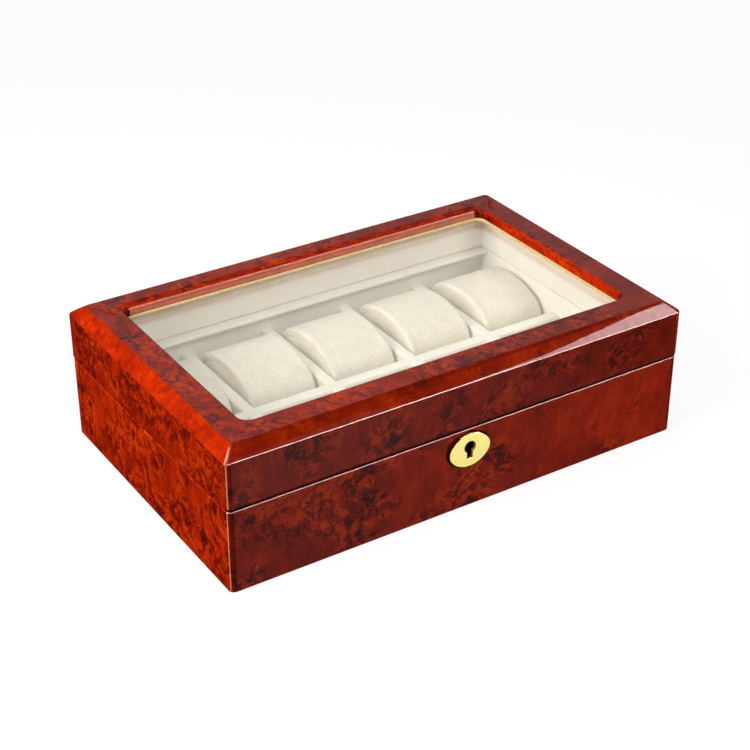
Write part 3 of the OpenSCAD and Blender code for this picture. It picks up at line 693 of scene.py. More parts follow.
# %% The base
BASE_EDGE = 0.8
flat_from = BASE_EDGE + BESIDE
low_edge = arc(BASE_EDGE, BASE_EDGE, BASE_EDGE, 270, 180, 4, outer_corner)
high_edge = arc(BASE_EDGE, SEAM - BASE_EDGE, BASE_EDGE, 180, 90, 6, outer_corner)
base_profile = ([(WALL, 0, 0), (flat_from, outer_corner(flat_from), 0)] + low_edge
                + [(0, CORNER, flat_from), (0, CORNER, SEAM - flat_from)] + high_edge
                + [(flat_from, outer_corner(flat_from), SEAM), (WALL, 0, SEAM)])
base_shell = carried("base_shell", base_profile, BASE_LENGTH, BASE_WIDTH, burl)
cut(base_shell, lock_cutters + hinge_cutters("base", -1))
# the front leaf is toned darker and the left one paler, partly as painted shade and light
lay_veneer(base_shell, {
    TO_FRONT: leaf((0, 0, 0), 0.45, 0.17, 0.95, right_tone=1.55, right_polish=0.4, calmer=0.18),
    TO_LEFT: leaf((310, 40, 90), 0.64, 0.005, 0.8),
    TO_BACK: leaf((70, 520, 30), 0.7, 0.2, 0.8),
    TO_RIGHT: leaf((640, 210, 55), 0.7, 0.02, 0.9),
    UPWARDS: leaf((20, 90, 400), 0.5, 0.2, 0.5),
    DOWNWARDS: hidden_leaf}, [
    # dark bands beside the near upright corner and round the far one are painted shade; pale lines on the
    # near corner, along the top edges and along the bottom front edge are painted highlights
    (AROUND_IT, 0.01, 0.8, 0.4, 0.02, 0.0), ("front beside end", 0.2, 0.8, 0.7, 0.1, 0.1),
    ("end", 0.8, 55.2, 0.6, 0.02, 0.0), ("far_corner right", 0.8, 55.2, 0.5, 0.01, 0.0),
    ("turn", 0.8, 55.2, 0.9, 0.2, 0.4), ("beside corner", 0.8, 55.2, 0.25, 0.06, 0.0),
    ("front end", 55.4, 55.9, 0.5, 0.3, 0.0), ("beside", 55.3, 55.93, 0.8, 0.3, 0.3),
    ("left", 55.3, 55.99, 1.0, 0.02, 0.0), ("corner turn", 55.3, 55.99, 1.0, 0.5, 0.8)])
settle(base_shell, "base", "lacquered_burl", *[f"base_{side}_board" for side in SIDES])

# %% [markdown]
# ## The lacquered lid
# The lid goes round in the same way, with a longer profile: up the outside, over a bevel, across
# the frame, down the window's edge, back under the rails and down inside the boards.

# %% The lid
BEVEL_WIDTH, BEVEL_HEIGHT, WINDOW_CORNER, RAIL_Z = 8.8, 6.7, 7.0, 87.5
LOW_EDGE, BEVEL_EDGE, TOP_EDGE, RIM, CROWN = 2.2, 0.9, 2.0, 2.6, 0.1
TIGHT_CORNER = 2.5   # radius of the hip at the top of the bevels
STOP_SHORT = 2       # degrees that the bevels' roundings leave to the crown
HIGHLIGHT_FROM = RAIL_Z + 1.9    # above this the window's back edge carries a painted highlight


def bevel_corner(inset):
    """The hip between two bevels: round as the upright corner below, and a little tighter at the top."""
    return CORNER + (TIGHT_CORNER - CORNER) * min(max(inset / BEVEL_WIDTH, 0.0), 1.0)


def window_corner(inset):
    return WINDOW_CORNER + FRAME - inset


slope = math.degrees(math.atan2(BEVEL_HEIGHT, BEVEL_WIDTH))
half_turn = math.radians((90 - slope) / 2)
bevel_z = TOP - BEVEL_HEIGHT
setback = BEVEL_EDGE * math.tan(half_turn)
lid_edge = arc(LOW_EDGE, SEAM + LOW_EDGE, LOW_EDGE, 270, 180, 8, outer_corner)
bevel_low = arc(BEVEL_EDGE, bevel_z - setback, BEVEL_EDGE,
                180, 90 + slope + STOP_SHORT, 5, bevel_corner)
top_turn = math.radians(slope / 2)
top_setback = TOP_EDGE * math.tan(top_turn)
bevel_top = arc(BEVEL_WIDTH + top_setback, TOP - TOP_EDGE, TOP_EDGE,
                90 + slope - STOP_SHORT, 90, 4, bevel_corner)
bevel_crown = []
for i in range(1, 6):
    share = i / 6
    bulge = 4 * CROWN * share * (1 - share)
    start, stop = bevel_low[-1], bevel_top[0]
    d = start[0] + share * (stop[0] - start[0]) - bulge * 0.6
    bevel_crown.append((d, bevel_corner(d), start[2] + share * (stop[2] - start[2]) + bulge * 0.8))
rim = arc(FRAME - RIM, TOP - RIM, RIM, 90, 0, 8, window_corner)
low_end, top_start = LOW_EDGE + BESIDE, BEVEL_WIDTH + top_setback + BESIDE
strip_start, rim_start = FRAME - BACK_STRIP, FRAME - RIM - BESIDE
lid_profile = ([(WALL, 0, SEAM), (low_end, outer_corner(low_end), SEAM)] + lid_edge
               + [(0, CORNER, SEAM + z) for z in (low_end, 3.0, 4.0, 6.0)]
               + [(0, CORNER, bevel_z - setback - BESIDE)] + bevel_low + bevel_crown + bevel_top
               + [(top_start, bevel_corner(top_start), TOP)]
               + [(d, window_corner(d), TOP) for d in (strip_start, rim_start)] + rim
               + [(FRAME, WINDOW_CORNER, z) for z in (TOP - RIM - BESIDE, HIGHLIGHT_FROM, RAIL_Z)]
               + [(WALL, 0, RAIL_Z)])
lid_shell = carried("lid_shell", lid_profile, BOX_LENGTH, BOX_WIDTH, burl)
link_low, link_high = node_box("link_plate")
cut(lid_shell, hinge_cutters("lid", 1) + [
    cutting_box((link_low[0], link_low[1], SEAM - 1), (link_high[0], link_high[1] + 1, SEAM + PLATE))])
TILT, RISE = 0.606, 0.796    # how far a bevel looks outwards and upwards
# as on the base, the front leaves are toned darker and the left bevel paler, partly as painted shade and
# light
lay_veneer(lid_shell, {
    TO_FRONT: leaf((35, 10, 130), 0.38, 0.24, 0.85, right_polish=0.25, calmer=0.08),
    TO_LEFT: leaf((410, 140, 60), 0.56, 0.005, 0.72),
    TO_BACK: leaf((170, 420, 30), 0.7, 0.2, 0.8),
    TO_RIGHT: leaf((540, 310, 55), 0.7, 0.02, 0.9),
    UPWARDS: leaf((20, 190, 300), 0.49, 0.34, 0.75, right_tone=0.72, calmer=0.08),
    DOWNWARDS: hidden_leaf,
    (-TILT, 0, RISE): leaf((130, 610, 80), 0.88, 0.01, 0.25),
    (0, -TILT, RISE): leaf((230, 15, 70), 0.43, 0.03, 0.3, right_tone=1.3, right_polish=4.0),
    (TILT, 0, RISE): leaf((30, 710, 80), 0.5, 0.02, 0.4),
    (0, TILT, RISE): leaf((330, 45, 70), 0.5, 0.1, 0.4)}, [
    # the dark, dull band above the seam is painted shade of the groove, and the dark bands beside the upright
    # corners and in the window's corners are painted shade too; pale lines on the upright corner, the bevel's
    # lower edge and the hip, and the pink band on the window's back edge, are painted highlights
    (AROUND_IT, 56.01, 57.7, 0.1, 0.0, 0.0), (AROUND_IT, 57.7, 58.3, 0.2, 0.06, 0.0),
    ("front beside", 58.3, 59.1, 0.32, 0.18, 0.0), ("left", 56.3, 58.2, 0.3, 0.0, 0.0),
    ("corner", 58.3, 87.6, 0.9, 0.2, 0.45), ("beside", 58.3, 87.6, 0.25, 0.08, 0.0),
    ("end", 58.3, 87.6, 0.7, 0.02, 0.0), ("far_corner right", 58.3, 87.6, 0.5, 0.01, 0.0),
    ("front", 87.4, 88.78, 0.5, 0.1, 0.0), ("front", 88.22, 88.62, 0.8, 0.35, 0.2),
    ("beside", 87.4, 88.78, 0.8, 0.3, 0.4),
    ("corner", 87.6, 93.6, 0.7, 0.12, 0.15), ("turn", 87.6, 93.6, 1.0, 0.5, 0.6),
    ("front beside", 94.0, 95, 0.35, 0.05, 0.0),
    ("inner_back", 80, HIGHLIGHT_FROM, 0.5, 0.03, 0.0), ("inner_back", HIGHLIGHT_FROM, 92.6, 0.75, 0.25, 0.48),
    ("inner_back", 92.6, 94.3, 0.8, 0.05, 0.3), ("inner_back", 94.3, 95, 0.7, 0.01, 0.0),
    ("back_strip", 94.9, 95.1, 0.6, 0.06, 0.0), ("inner_corner", 80, 95, 0.3, 0.1, 0.0),
    ("inner_right", 80, 94.9, 0.9, 0.03, 0.0)])
settle(lid_shell, "lid", "lacquered_burl",
       *[f"lid_{side}_board" for side in SIDES], *[f"frame_rail_{side}" for side in SIDES])

# %% [markdown]
# The pane sits under the frame in a bead of pale sealant, whose edge shows as a thin cream line all
# round the window. Its section is a small quarter round, carried round the opening.

# %% The sealant bead
BEAD = 1.5
bead_profile = [(FRAME + 0.05 + d, WINDOW_CORNER - d, RAIL_Z + z)
                for d, z in ((-0.5, 0.01), (-0.5, BEAD), (0, BEAD), (0.45, BEAD * 0.93), (0.85, BEAD * 0.7),
                             (1.15, BEAD * 0.3), (1.2, 0.01))]
pane_bead = carried("pane_bead", bead_profile, BOX_LENGTH, BOX_WIDTH, sealant)
settle(pane_bead, "lid", "velour_lining")

# %% [markdown]
# ## Linings
# A lining board is card with velour drawn over its edge, so its upper edge is a small roll. The
# ring in the base stands 1.6 mm above the seam as a tongue that centres the lid, and the ring in
# the lid comes down to it. Both are profiles round a box again.

# %% Two lining rings
LINING, TONGUE_Z, LINING_GAP, GLASS_Z, LINING_Z = 4.4, 57.6, 0.6, 85.5, 7.5
ROOM_LENGTH, ROOM_WIDTH = BASE_LENGTH - 2 * WALL - 2 * LINING, BASE_WIDTH - 2 * WALL - 2 * LINING
ROLL = 0.6


def square_corner(inset):
    return 0.0


def lining_profile(thickness, low, high, roll_low, roll_high):
    """A board's section, with a roll of the given radius along each edge that shows."""
    def edge(height, middle, roll, start, stop):
        if not roll:
            return [(thickness, 0, height)]
        return arc(thickness - roll, middle, roll, start, stop, 4, square_corner)

    above = edge(high, high - roll_high, roll_high, 90, 0)
    below = edge(low, low + roll_low, roll_low, 0, -90)
    return [(0, 0, high)] + above + below + [(0, 0, low)]


base_lining = carried("base_lining", lining_profile(LINING, LINING_Z, TONGUE_Z, 0, ROLL),
                      ROOM_LENGTH + 2 * LINING, ROOM_WIDTH + 2 * LINING, velour)
settle(base_lining, "base", "velour_lining", *[f"liner_{side}" for side in SIDES])
LID_LINING = LINING + OVERHANG
lid_lining = carried("lid_lining", lining_profile(LID_LINING, TONGUE_Z + LINING_GAP, GLASS_Z, ROLL, 0),
                     ROOM_LENGTH + 2 * LID_LINING, ROOM_WIDTH + 2 * LID_LINING, velour)
settle(lid_lining, "lid", "velour_lining", *[f"lid_liner_{side}" for side in SIDES])

# %% [markdown]
# ## Dividers and ledge
# Five compartments in each row need four cross dividers, all alike, so a tree sets one board at
# each place along a line. The boards and the ledge are one closed section each, with velour rolled
# over the edges that show.

# %% A board with rolled edges
COLUMNS, DIVIDER, DIVIDER_Z, FLOOR_Z = 5, 8.6, 43.2, 10.5
CELL_LENGTH = (ROOM_LENGTH - (COLUMNS - 1) * DIVIDER) / COLUMNS
CELL_WIDTH = (ROOM_WIDTH - DIVIDER) / 2
PITCH = CELL_LENGTH + DIVIDER
print(f"compartments of {CELL_LENGTH:.1f} x {CELL_WIDTH:.1f} mm")


def section_board(name, section, length, along_x):
    """A closed section of (across, up) points, drawn out along X or Y and closed at both ends."""
    corners = [(end, a, z) if along_x else (a, end, z)
               for end in (-length / 2, length / 2) for a, z in section]
    count = len(section)
    faces = [(i, (i + 1) % count, count + (i + 1) % count, count + i) for i in range(count)]
    piece = from_points(name, corners, faces + [tuple(range(count)), tuple(range(count, 2 * count))])
    with editing(piece) as work:
        bmesh.ops.recalc_face_normals(work, faces=work.faces)
    return smooth(piece, 50)


def rolled_top(width, low, high, roll):
    """A board's section with both upper edges rolled."""
    section = [(-width / 2, low), (width / 2, low)]
    for side, start in ((1, 0), (-1, 90)):
        for step in range(5):
            across, up = on_circle(roll, start + 22.5 * step)
            section.append((side * (width / 2 - roll) + across, high - roll + up))
    return section


# %% Boards at each place of a line
def row_tree():
    tree, given, end = geometry_tree("boards_in_a_row", [
        ("Count", "NodeSocketInt"), ("Start", "NodeSocketVector"), ("Step", "NodeSocketVector"),
        ("Material", "NodeSocketMaterial")])
    line = add(tree, "GeometryNodeMeshLine", {
        "Count": given["Count"], "Start Location": given["Start"], "Offset": given["Step"]})
    boards = add(tree, "GeometryNodeInstanceOnPoints", {"Points": line, "Instance": given["Geometry"]})
    set_material_and_end(tree, boards, given["Material"], end)
    return tree


boards_in_a_row = row_tree()
DIVIDER_ROLL = 1.8
across_room = rolled_top(DIVIDER, FLOOR_Z, DIVIDER_Z, DIVIDER_ROLL)
cross_dividers = section_board("cross_dividers", across_room, ROOM_WIDTH, False)
run_tree(cross_dividers, boards_in_a_row, Count=COLUMNS - 1, Start=(-1.5 * PITCH * MM, 0, 0),
         Step=(PITCH * MM, 0, 0), Material=velour)
settle(smooth(cross_dividers, 50), "base", "velour_lining",
       *[f"cross_divider_{i}" for i in range(1, COLUMNS)])

along_room = rolled_top(DIVIDER, FLOOR_Z, DIVIDER_Z - 0.02, DIVIDER_ROLL)
long_divider = section_board("middle_divider", along_room, ROOM_LENGTH, True)
coat(long_divider, velour)
settle(long_divider, "base", "velour_lining", "long_divider")

# %% The ledge over the back lining
LEDGE_DEPTH, LEDGE = 7.0, 3.0
wall_y, round_y = ROOM_WIDTH / 2, ROOM_WIDTH / 2 - LEDGE_DEPTH + LEDGE / 2
nose = [on_circle(LEDGE / 2, angle) for angle in range(90, 271, 18)]
nose = [(round_y + across, TONGUE_Z - LEDGE / 2 + up) for across, up in nose]
ledge_section = [(wall_y, TONGUE_Z)] + nose + [(wall_y, TONGUE_Z - LEDGE)]
back_shelf = section_board("back_shelf", ledge_section, ROOM_LENGTH, True)
coat(back_shelf, velour)
settle(back_shelf, "base", "velour_lining", "back_ledge")

# %% [markdown]
# ## The padded floor
# The floor is velour over thin foam. The dividers press it down, so between them it swells into
# ten low pillows. One height formula makes it: full in the middle of a cell, lower at its edges.

# %% Floor pillows
def floor_piece():
    steps_x, steps_y = 150, 90
    sink, pressed_width, gap = 1.1, 2.5, 0.02
    half_x, half_y = ROOM_LENGTH / 2 - gap, ROOM_WIDTH / 2 - gap
    top, low = [], []
    for j in range(steps_y + 1):
        for i in range(steps_x + 1):
            x, y = -half_x + 2 * half_x * i / steps_x, -half_y + 2 * half_y * j / steps_y
            along_pitch = (x + ROOM_LENGTH / 2 + DIVIDER / 2) % PITCH
            from_x = min(abs(along_pitch - DIVIDER / 2), abs(PITCH - DIVIDER / 2 - along_pitch - DIVIDER / 2))
            from_y = min(abs(abs(y) - DIVIDER / 2), abs(ROOM_WIDTH / 2 - abs(y)))
            edge = math.exp(-min(from_x, from_y) / pressed_width)
            top.append((x, y, FLOOR_Z - gap - sink * edge))
            low.append((x, y, LINING_Z + gap))
    row, count = steps_x + 1, len(top)
    faces = []
    for j in range(steps_y):
        for i in range(steps_x):
            a = j * row + i
            faces.append((a, a + 1, a + row + 1, a + row))
            faces.append((count + a, count + a + row, count + a + row + 1, count + a + 1))
    rim = list(range(row)) + [j * row + steps_x for j in range(1, steps_y + 1)]
    rim += [steps_y * row + i for i in range(steps_x - 1, -1, -1)]
    rim += [j * row for j in range(steps_y - 1, 0, -1)]
    for a, b in zip(rim, rim[1:] + rim[:1]):
        faces.append((b, a, count + a, count + b))
    piece = from_points("floor_pillows", top + low, faces)
    coat(piece, velour)
    return smooth(piece, 50)


floor_pillows = floor_piece()
settle(floor_pillows, "base", "velour_lining", "floor_pad")

# %% [markdown]
# ## The cushions
# A watch cushion is a block of foam in a velvet cover. Its section is an oval that a closed strap
# fits round, and each end is a panel sewn in with a seam that lies a few millimetres in from the
# edge. First a plain blank of the foam is blown up a little as cloth, so that the flat parts crown
# and the sides pull in. Then a finer cover is drawn over it, with its hem and seams.

# %% The oval section
CUSHION_LENGTH, CUSHION_DEPTH = CELL_LENGTH - 4.0, CELL_WIDTH - 12.0
CUSHION_LOW, CUSHION_TOP, NOSE = 10.8, 55.2, 18.0
CUSHION_HEIGHT = CUSHION_TOP - CUSHION_LOW
print(f"cushions of {CUSHION_LENGTH:.1f} x {CUSHION_DEPTH:.1f} x {CUSHION_HEIGHT:.1f} mm")


def oval_outline(count, inset=0.0):
    """Points and outward normals of the four-arc oval, evenly spread by angle."""
    end_y, rise = CUSHION_DEPTH / 2 - NOSE, CUSHION_HEIGHT / 2 - NOSE
    drop = (end_y * end_y - rise * rise) / (2 * rise)
    flat = drop + CUSHION_HEIGHT / 2
    limit = math.atan2(drop, end_y)
    outline = []
    for i in range(count):
        angle = 2 * math.pi * i / count
        c, s = math.cos(angle), math.sin(angle)
        # spread the points so that the flat arcs get as many as the noses
        turn = math.atan2(s * CUSHION_HEIGHT * 1.5, c * CUSHION_DEPTH)
        c, s = math.cos(turn), math.sin(turn)
        if abs(s) > math.sin(limit):
            centre, radius = (0.0, -math.copysign(drop, s)), flat
        else:
            centre, radius = (math.copysign(end_y, c), 0.0), NOSE
        outline.append(((centre[0] + (radius - inset) * c, centre[1] + (radius - inset) * s), (c, s)))
    return outline


# %% A foam blank, blown up as cloth
PRESSURE, FRAMES = 4, 20
MOST_MOVED = 1.4     # mm that the foam may swell or sink in


def foam_blank():
    """The foam at the origin, length along X, a little smaller than the cover will be."""
    half = CUSHION_LENGTH / 2 - 1.0
    blank = from_points("foam_blank", [
        (x * half, y, z) for x, inset in ((-1, 3.5), (-0.94, 1.2), (0.94, 1.2), (1, 3.5))
        for (y, z), _ in oval_outline(48, inset)])
    with editing(blank) as work:
        bmesh.ops.convex_hull(work, input=work.verts)
    remesh = blank.modifiers.new("even", "REMESH")
    remesh.mode, remesh.voxel_size = "VOXEL", 4 * MM
    return baked(blank)


def blown_up(blank, reach):
    """Blow the blank up as cloth, and let no point move further than reach."""
    before = [v.co.copy() for v in blank.data.vertices]
    cloth = blank.modifiers.new("cover", "CLOTH")
    cloth.settings.use_pressure, cloth.settings.uniform_pressure_force = True, PRESSURE
    cloth.settings.effector_weights.gravity = 0
    cloth.point_cache.frame_start, cloth.point_cache.frame_end = 1, FRAMES
    for number in range(1, FRAMES + 1):
        bpy.context.scene.frame_set(number)
    baked(blank)
    bpy.context.scene.frame_set(1)
    for vertex, start in zip(blank.data.vertices, before):
        move = vertex.co - start
        if move.length > reach:
            vertex.co = start + move.normalized() * reach
    finer = blank.modifiers.new("finer", "SUBSURF")
    finer.levels = finer.render_levels = 1
    return baked(blank)


foam = foam_blank()
blown_up(foam, MOST_MOVED * MM)
foam_surface = BVHTree.FromPolygons([v.co.copy() for v in foam.data.vertices],
                                    [tuple(p.vertices) for p in foam.data.polygons])
print("foam blank:", len(foam.data.polygons), "faces")

# %% [markdown]
# The cover is a net of rings. Each ring says how far in from the oval it lies and where it stands
# along the cushion: over the round edge, down into the seam, and over the end panel to its middle.
# A ring's points are then laid against the foam where they touch it.

# %% The cover
EDGE = 3.0          # radius of the soft edge
AROUND = 112        # points in each ring
DENT, FINE_DENT, SAG, WOBBLE = 0.3, 0.14, 0.25, 0.15    # depths, all in mm


def cover_rings():
    """(inset from the oval, place from the cushion's end, share kept of the outline) for one half."""
    rings = [(0.0, d, 1.0) for d in (CUSHION_LENGTH / 2, 20.0, 16.5, 13.0, 10.0, 7.5, 5.5, 4.2, 3.4)]
    for angle in (0, 15, 30, 45, 60, 74, 86):
        across, up = on_circle(1, angle)
        rings.append((EDGE * (1 - across), EDGE * (1 - up), 1.0))
    # two folds of the gathered end lie side by side before the end panel
    rings += [(inset, d, 1.0) for inset, d in (
        (3.3, 0.2), (3.55, 0.7), (3.8, 0.25), (4.3, 0.08), (4.8, 0.12), (5.2, 0.35),
        (5.45, 1.0), (5.7, 0.5), (6.2, 0.3), (7.0, 0.2), (8.5, 0.1))]
    return rings + [(8.5, d, share) for d, share in ((-0.1, 0.8), (-0.2, 0.6), (-0.25, 0.4), (-0.3, 0.2))]


def cover(name, seed):
    """A closed velvet cover at the origin. The seed changes its small dents and its hand-sewn seam."""
    half = cover_rings()
    rings = [(i, -1, d, k) for i, d, k in reversed(half)] + [(i, 1, d, k) for i, d, k in half[1:]]
    work, loops = bmesh.new(), []
    for inset, side, from_end, share in rings:
        loop = []
        for (y, z), (ny, nz) in oval_outline(AROUND, inset):
            x = side * (CUSHION_LENGTH / 2 - from_end)
            y, z = y * share, z * share
            # dents and crown
            spot = Vector((x, y, z)) * 0.07 + Vector((seed * 7.3, seed * 3.1, 0))
            dent = DENT * noise.noise(spot) + FINE_DENT * noise.noise(spot * 4)
            if share == 1.0 and inset < EDGE:
                crown = SAG * math.cos(math.pi * x / CUSHION_LENGTH) - SAG
                y, z = y + ny * (dent + crown), z + nz * (dent + crown)
            wobble = WOBBLE * noise.noise(Vector((y, z, seed * 5.7)) * 0.12) if inset > EDGE else 0.0
            loop.append(work.verts.new(Vector((x + side * wobble, y, z)) * MM))
        loops.append(loop)
    for a, b in zip(loops, loops[1:]):
        for i in range(AROUND):
            work.faces.new((a[i], a[(i + 1) % AROUND], b[(i + 1) % AROUND], b[i]))
    for loop in (loops[0], loops[-1]):
        middle = work.verts.new(sum((v.co for v in loop), Vector()) / AROUND)
        for i in range(AROUND):
            work.faces.new((loop[i], loop[(i + 1) % AROUND], middle))
    # lay the round sides against the blown-up foam, and keep the seams
    for vertex in work.verts:
        if abs(vertex.co.x) < (CUSHION_LENGTH / 2 - 5) * MM:
            touch, normal, _, far = foam_surface.find_nearest(vertex.co)
            if touch is not None and far < 2 * MM:
                vertex.co = vertex.co.lerp(touch + normal * 0.5 * MM, 0.35)
    bmesh.ops.recalc_face_normals(work, faces=work.faces)
    mesh = bpy.data.meshes.new(name)
    work.to_mesh(mesh)
    work.free()
    mesh.materials.append(velvet)
    piece = from_mesh(name, mesh)
    piece.data.shade_smooth()
    return piece


# %% Ten cushions in their compartments
for row, side in (("front", -1), ("back", 1)):
    for column in range(1, COLUMNS + 1):
        pillow = cover(f"pillow_{row}_{column}", column + (10 if row == "back" else 0))
        place = Vector(((column - 3) * PITCH, side * (CELL_WIDTH + DIVIDER) / 2,
                        CUSHION_LOW + CUSHION_HEIGHT / 2))
        pillow.data.transform(Matrix.Translation(place * MM))
        settle(pillow, f"cushion_{row}_{column}", "cushion_velvet", f"cushion_{row}_{column}")
bpy.data.objects.remove(foam)

# %% [markdown]
# ## Brass and steel
# The metal parts keep their CAD shape. A stamped or polished part has no razor edge, so each is
# copied, its loose triangles are merged, and a small bevel catches the light. The screws and pins
# stay as the CAD nodes they are.

# %% Eased metal parts
def eased(node, width, material, body, slot):
    """A copy of a CAD node with its sharp edges bevelled by width, in the node's place."""
    piece = from_mesh(node + "_eased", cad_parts[node].data.copy())
    with editing(piece) as work:
        bmesh.ops.remove_doubles(work, verts=work.verts, dist=1e-6)
        bmesh.ops.dissolve_limit(work, angle_limit=math.radians(1), verts=work.verts, edges=work.edges)
    bevel = piece.modifiers.new("ease", "BEVEL")
    bevel.width, bevel.segments, bevel.limit_method = width * MM, 2, "ANGLE"
    bevel.angle_limit = math.radians(40)
    coat(baked(piece), material)
    return settle(smooth(piece), body, slot, node)


plate = eased("escutcheon", 0.25, brass, "base", "polished_brass")
# The plate's walls, bevels and keyhole get painted light instead of mirroring the room: dark on the left and
# inside the keyhole as painted shade and a painted reflection of the wood, pale gold and orange on faces
# turned up as painted highlights.
painted_edge_values = []
for face in plate.data.polygons:
    in_keyhole = math.hypot(face.center.x / MM, face.center.z / MM - KEY_Z) < NEAR_KEY + 0.5
    if face.normal.y < -0.95:
        painted_edge_values.append(0.0)
    elif in_keyhole:
        painted_edge_values.append(0.2 if face.normal.z > 0.6 else 0.38 if face.normal.x < -0.3 else 1.0)
    elif face.normal.y < -0.3:
        painted_edge_values.append(1.0 if face.normal.x < -0.25 else 0.15 if face.normal.z > 0 else 0.0)
    else:
        painted_edge_values.append(0.24 if face.normal.z > 0.9 else 1.0)
plate.data.attributes.new("painted_edge_light", "FLOAT", "FACE").data.foreach_set("value", painted_edge_values)
eased("lock_cap_plate", 0.12, brass, "base", "polished_brass")
eased("link_plate", 0.12, brass, "lid", "polished_brass")
eased("lock_bolt", 0.12, steel, "lock_bolt", "lock_steel")
for side in ("left", "right"):
    eased(f"hinge_base_leaf_{side}", 0.15, brass, "base", "polished_brass")
    eased(f"hinge_lid_leaf_{side}", 0.15, brass, "lid", "polished_brass")

# %% Lacquer drawn up round the plate, coloured as painted shade
def painted_shade_fillet():
    """The bead of lacquer that stands against the plate's edge, as rings of its outline. Its dark colour is
    painted shade and a painted reflection of the plate's side.
    """
    low, high = node_box("escutcheon")
    outline = [v.co / MM for v in plate.data.vertices if abs(v.co.y / MM + BASE_WIDTH / 2) < 0.3]
    middle = Vector(((low[0] + high[0]) / 2, 0, (low[2] + high[2]) / 2))
    rim = [p for p in outline if math.hypot(p.x - middle.x, p.z - middle.z) > 10]
    rim.sort(key=lambda p: math.atan2(p.z - middle.z, p.x - middle.x))
    rings = []
    for out, proud in ((-0.3, 0.0), (-0.3, 0.75), (0.0, 0.75), (0.35, 0.6), (0.75, 0.3), (1.2, 0.02)):
        ring = []
        for p in rim:
            away = Vector((p.x - middle.x, 0, (p.z - middle.z) * 1.5)).normalized()
            ring.append((p.x + away.x * out, -BASE_WIDTH / 2 - proud, p.z + away.z * out))
        rings.append(ring)
    count = len(rim)
    corners, faces = [c for ring in rings for c in ring], []
    for a in range(len(rings)):
        here, there = a * count, (a + 1) % len(rings) * count
        faces += [(here + i, here + (i + 1) % count, there + (i + 1) % count, there + i)
                  for i in range(count)]
    piece = from_points("painted_shade_fillet", corners, faces)
    with editing(piece) as work:
        bmesh.ops.remove_doubles(work, verts=work.verts, dist=1e-6)
        bmesh.ops.recalc_face_normals(work, faces=work.faces)
    coat(piece, burl)
    return smooth(piece, 60)


shade_fillet = painted_shade_fillet()
# painted shade: the bead is nearly black and dull; its top is paler, a painted reflection of the plate's lit
# top wall
lay_veneer(shade_fillet, {TO_FRONT: leaf((0, 0, 0), 0.12, 0.0, 0.0)}, [
    ("front beside end flat", 55.0, 58, 0.5, 0.0, 0.0)])
settle(shade_fillet, "base", "lacquered_burl")

# %% Finishes of the CAD nodes that stay
for node, material in {
        "bottom_panel": plywood, "underside_felt": felt, "glass_pane": glass, "lock_case": brass,
        "lock_key_pin": steel, "lock_screws": brass, "link_plate_screws": brass, "hinge_pins": brass,
        "hinge_base_screws": brass, "hinge_lid_screws": brass}.items():
    coat(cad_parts[node], material)
    print(node, "is", material.name)

# %% [markdown]
# ## Floor, room and lamps
# The floor and the room are white to the eye, to mirrors and through glass. What lights the box is
# plainer: a soft room and four soft boxes. A large one on the left lights the side and the bevel,
# a second hangs above it, a third hangs over the box, and a smaller one stands in front. Two more
# lamps are reflector cards: light linking lets only the lacquer and the plate mirror them, so that
# they draw bright lines on the edges and leave the pane clear.

# %% Floor
def seen_directly(tree):
    """1 for what the eye sees, also in a mirror or through glass, and 0 for what lights the box."""
    path = add(tree, "ShaderNodeLightPath")
    seen = add(tree, "MAXIMUM", (path.outputs["Is Camera Ray"], path.outputs["Is Glossy Ray"]))
    return add(tree, "MAXIMUM", (seen, path.outputs["Is Transmission Ray"]))


def floor_finish():
    material, tree, mm = new_finish("white_studio_floor")
    paper = add(tree, "ShaderNodeBsdfDiffuse", {"Color": (0.5, 0.5, 0.5, 1)})
    shade = add(tree, "ShaderNodeBsdfDiffuse", {"Color": (0.22, 0.22, 0.22, 1)})
    glow = add(tree, "ShaderNodeEmission", {"Color": (1, 1, 1, 1), "Strength": 0.82})
    white = add(tree, "ShaderNodeAddShader", {0: shade, 1: glow})
    # far from the box the floor fades into the white of the room
    far = add(tree, "ShaderNodeVectorMath", {0: mm}, operation="LENGTH").outputs["Value"]
    far = add(tree, "ShaderNodeMapRange", {"Value": far, "From Min": 600, "From Max": 1400})
    horizon = add(tree, "ShaderNodeEmission", {"Color": (1, 1, 1, 1), "Strength": 1.0})
    white = add(tree, "ShaderNodeMixShader", {0: far, 1: white, 2: horizon})
    output(tree, add(tree, "ShaderNodeMixShader", {0: seen_directly(tree), 1: paper, 2: white}))
    return material


HALF_FLOOR = 3000    # the floor reaches 3 m each way, just under the box
studio_floor = from_points("studio_floor", [
    (x * HALF_FLOOR, y * HALF_FLOOR, -0.2) for x, y in ((-1, -1), (1, -1), (1, 1), (-1, 1))], [(0, 1, 2, 3)])
coat(studio_floor, floor_finish())
print("floor of", 2 * HALF_FLOOR / 1000, "m")

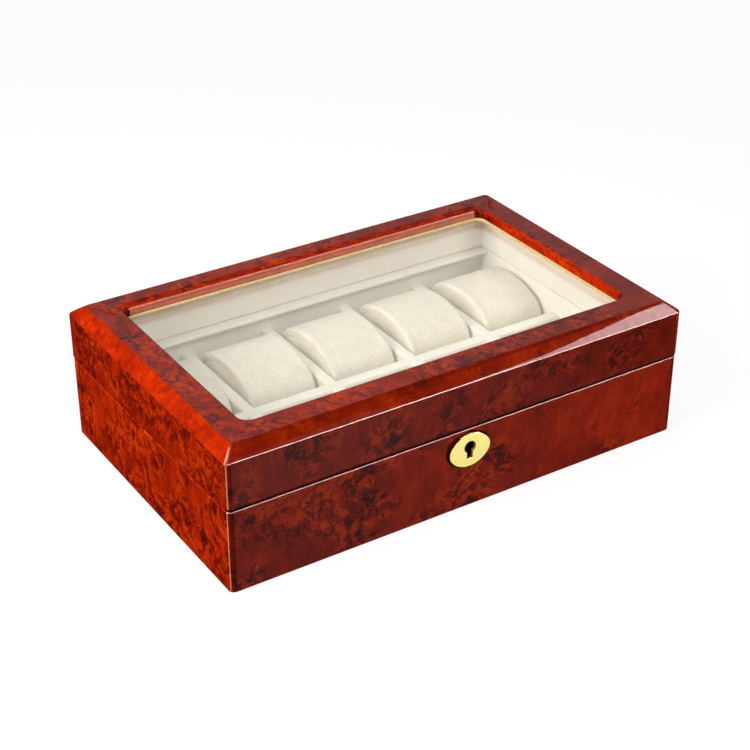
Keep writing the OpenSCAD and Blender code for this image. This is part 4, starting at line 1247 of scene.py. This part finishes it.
# %% Room
world = bpy.data.worlds.new("room")
world.use_nodes = True
bpy.context.scene.world = world
room = world.node_tree
room.nodes.clear()
ROOM_LIGHT = 0.28
light = add(room, "ShaderNodeBackground", {"Color": (1, 1, 1, 1), "Strength": ROOM_LIGHT})
white = add(room, "ShaderNodeBackground", {"Color": (1, 1, 1, 1), "Strength": 1.0})
mixed = add(room, "ShaderNodeMixShader", {0: seen_directly(room), 1: light, 2: white})
add(room, "ShaderNodeOutputWorld", {"Surface": mixed})
print("the room lights the box at", ROOM_LIGHT)


# %% Lamps
mirrors = bpy.data.collections.new("pieces_that_mirror_the_cards")
for piece in (base_shell, lid_shell, plate):
    mirrors.objects.link(piece)


def soft_box(name, azimuth, elevation, size, watts, only_in_polish=False, distance=1100):
    """A rectangular lamp that faces the box. Azimuth runs from the front to the right."""
    turn, rise = math.radians(azimuth), math.radians(elevation)
    aim = Vector((0, 0, 60))
    place = aim + distance * Vector((math.sin(turn) * math.cos(rise), -math.cos(turn) * math.cos(rise),
                                     math.sin(rise)))
    data = bpy.data.lights.new(name, "AREA")
    data.shape, data.size, data.size_y = "RECTANGLE", size[0] * MM, size[1] * MM
    data.energy = watts
    lamp = bpy.data.objects.new(name, data)
    if only_in_polish:
        lamp.visible_diffuse = False
        lamp.light_linking.receiver_collection = mirrors
    lamp.matrix_world = (Matrix.Translation(place * MM)
                         @ (aim - place).to_track_quat("-Z", "Y").to_matrix().to_4x4())
    bpy.context.scene.collection.objects.link(lamp)
    print(f"{name}: {watts} W, {distance} mm away")


soft_box("left_box", -90, 28, (700, 700), 10.7)
soft_box("high_box", -82, 58, (600, 600), 1.6)
soft_box("over_box", 170, 76, (700, 700), 1.9)
soft_box("front_box", 20, 48, (500, 400), 4.6)
soft_box("edge_card", 43, 31, (1300, 640), 150.0, only_in_polish=True)
soft_box("hip_card", -80, 72, (220, 220), 9.0, only_in_polish=True)

# %% [markdown]
# ## Look and the end
# The view transform is Standard, so colours come out as written.

# %% The end
bpy.context.scene.view_settings.view_transform = "Standard"
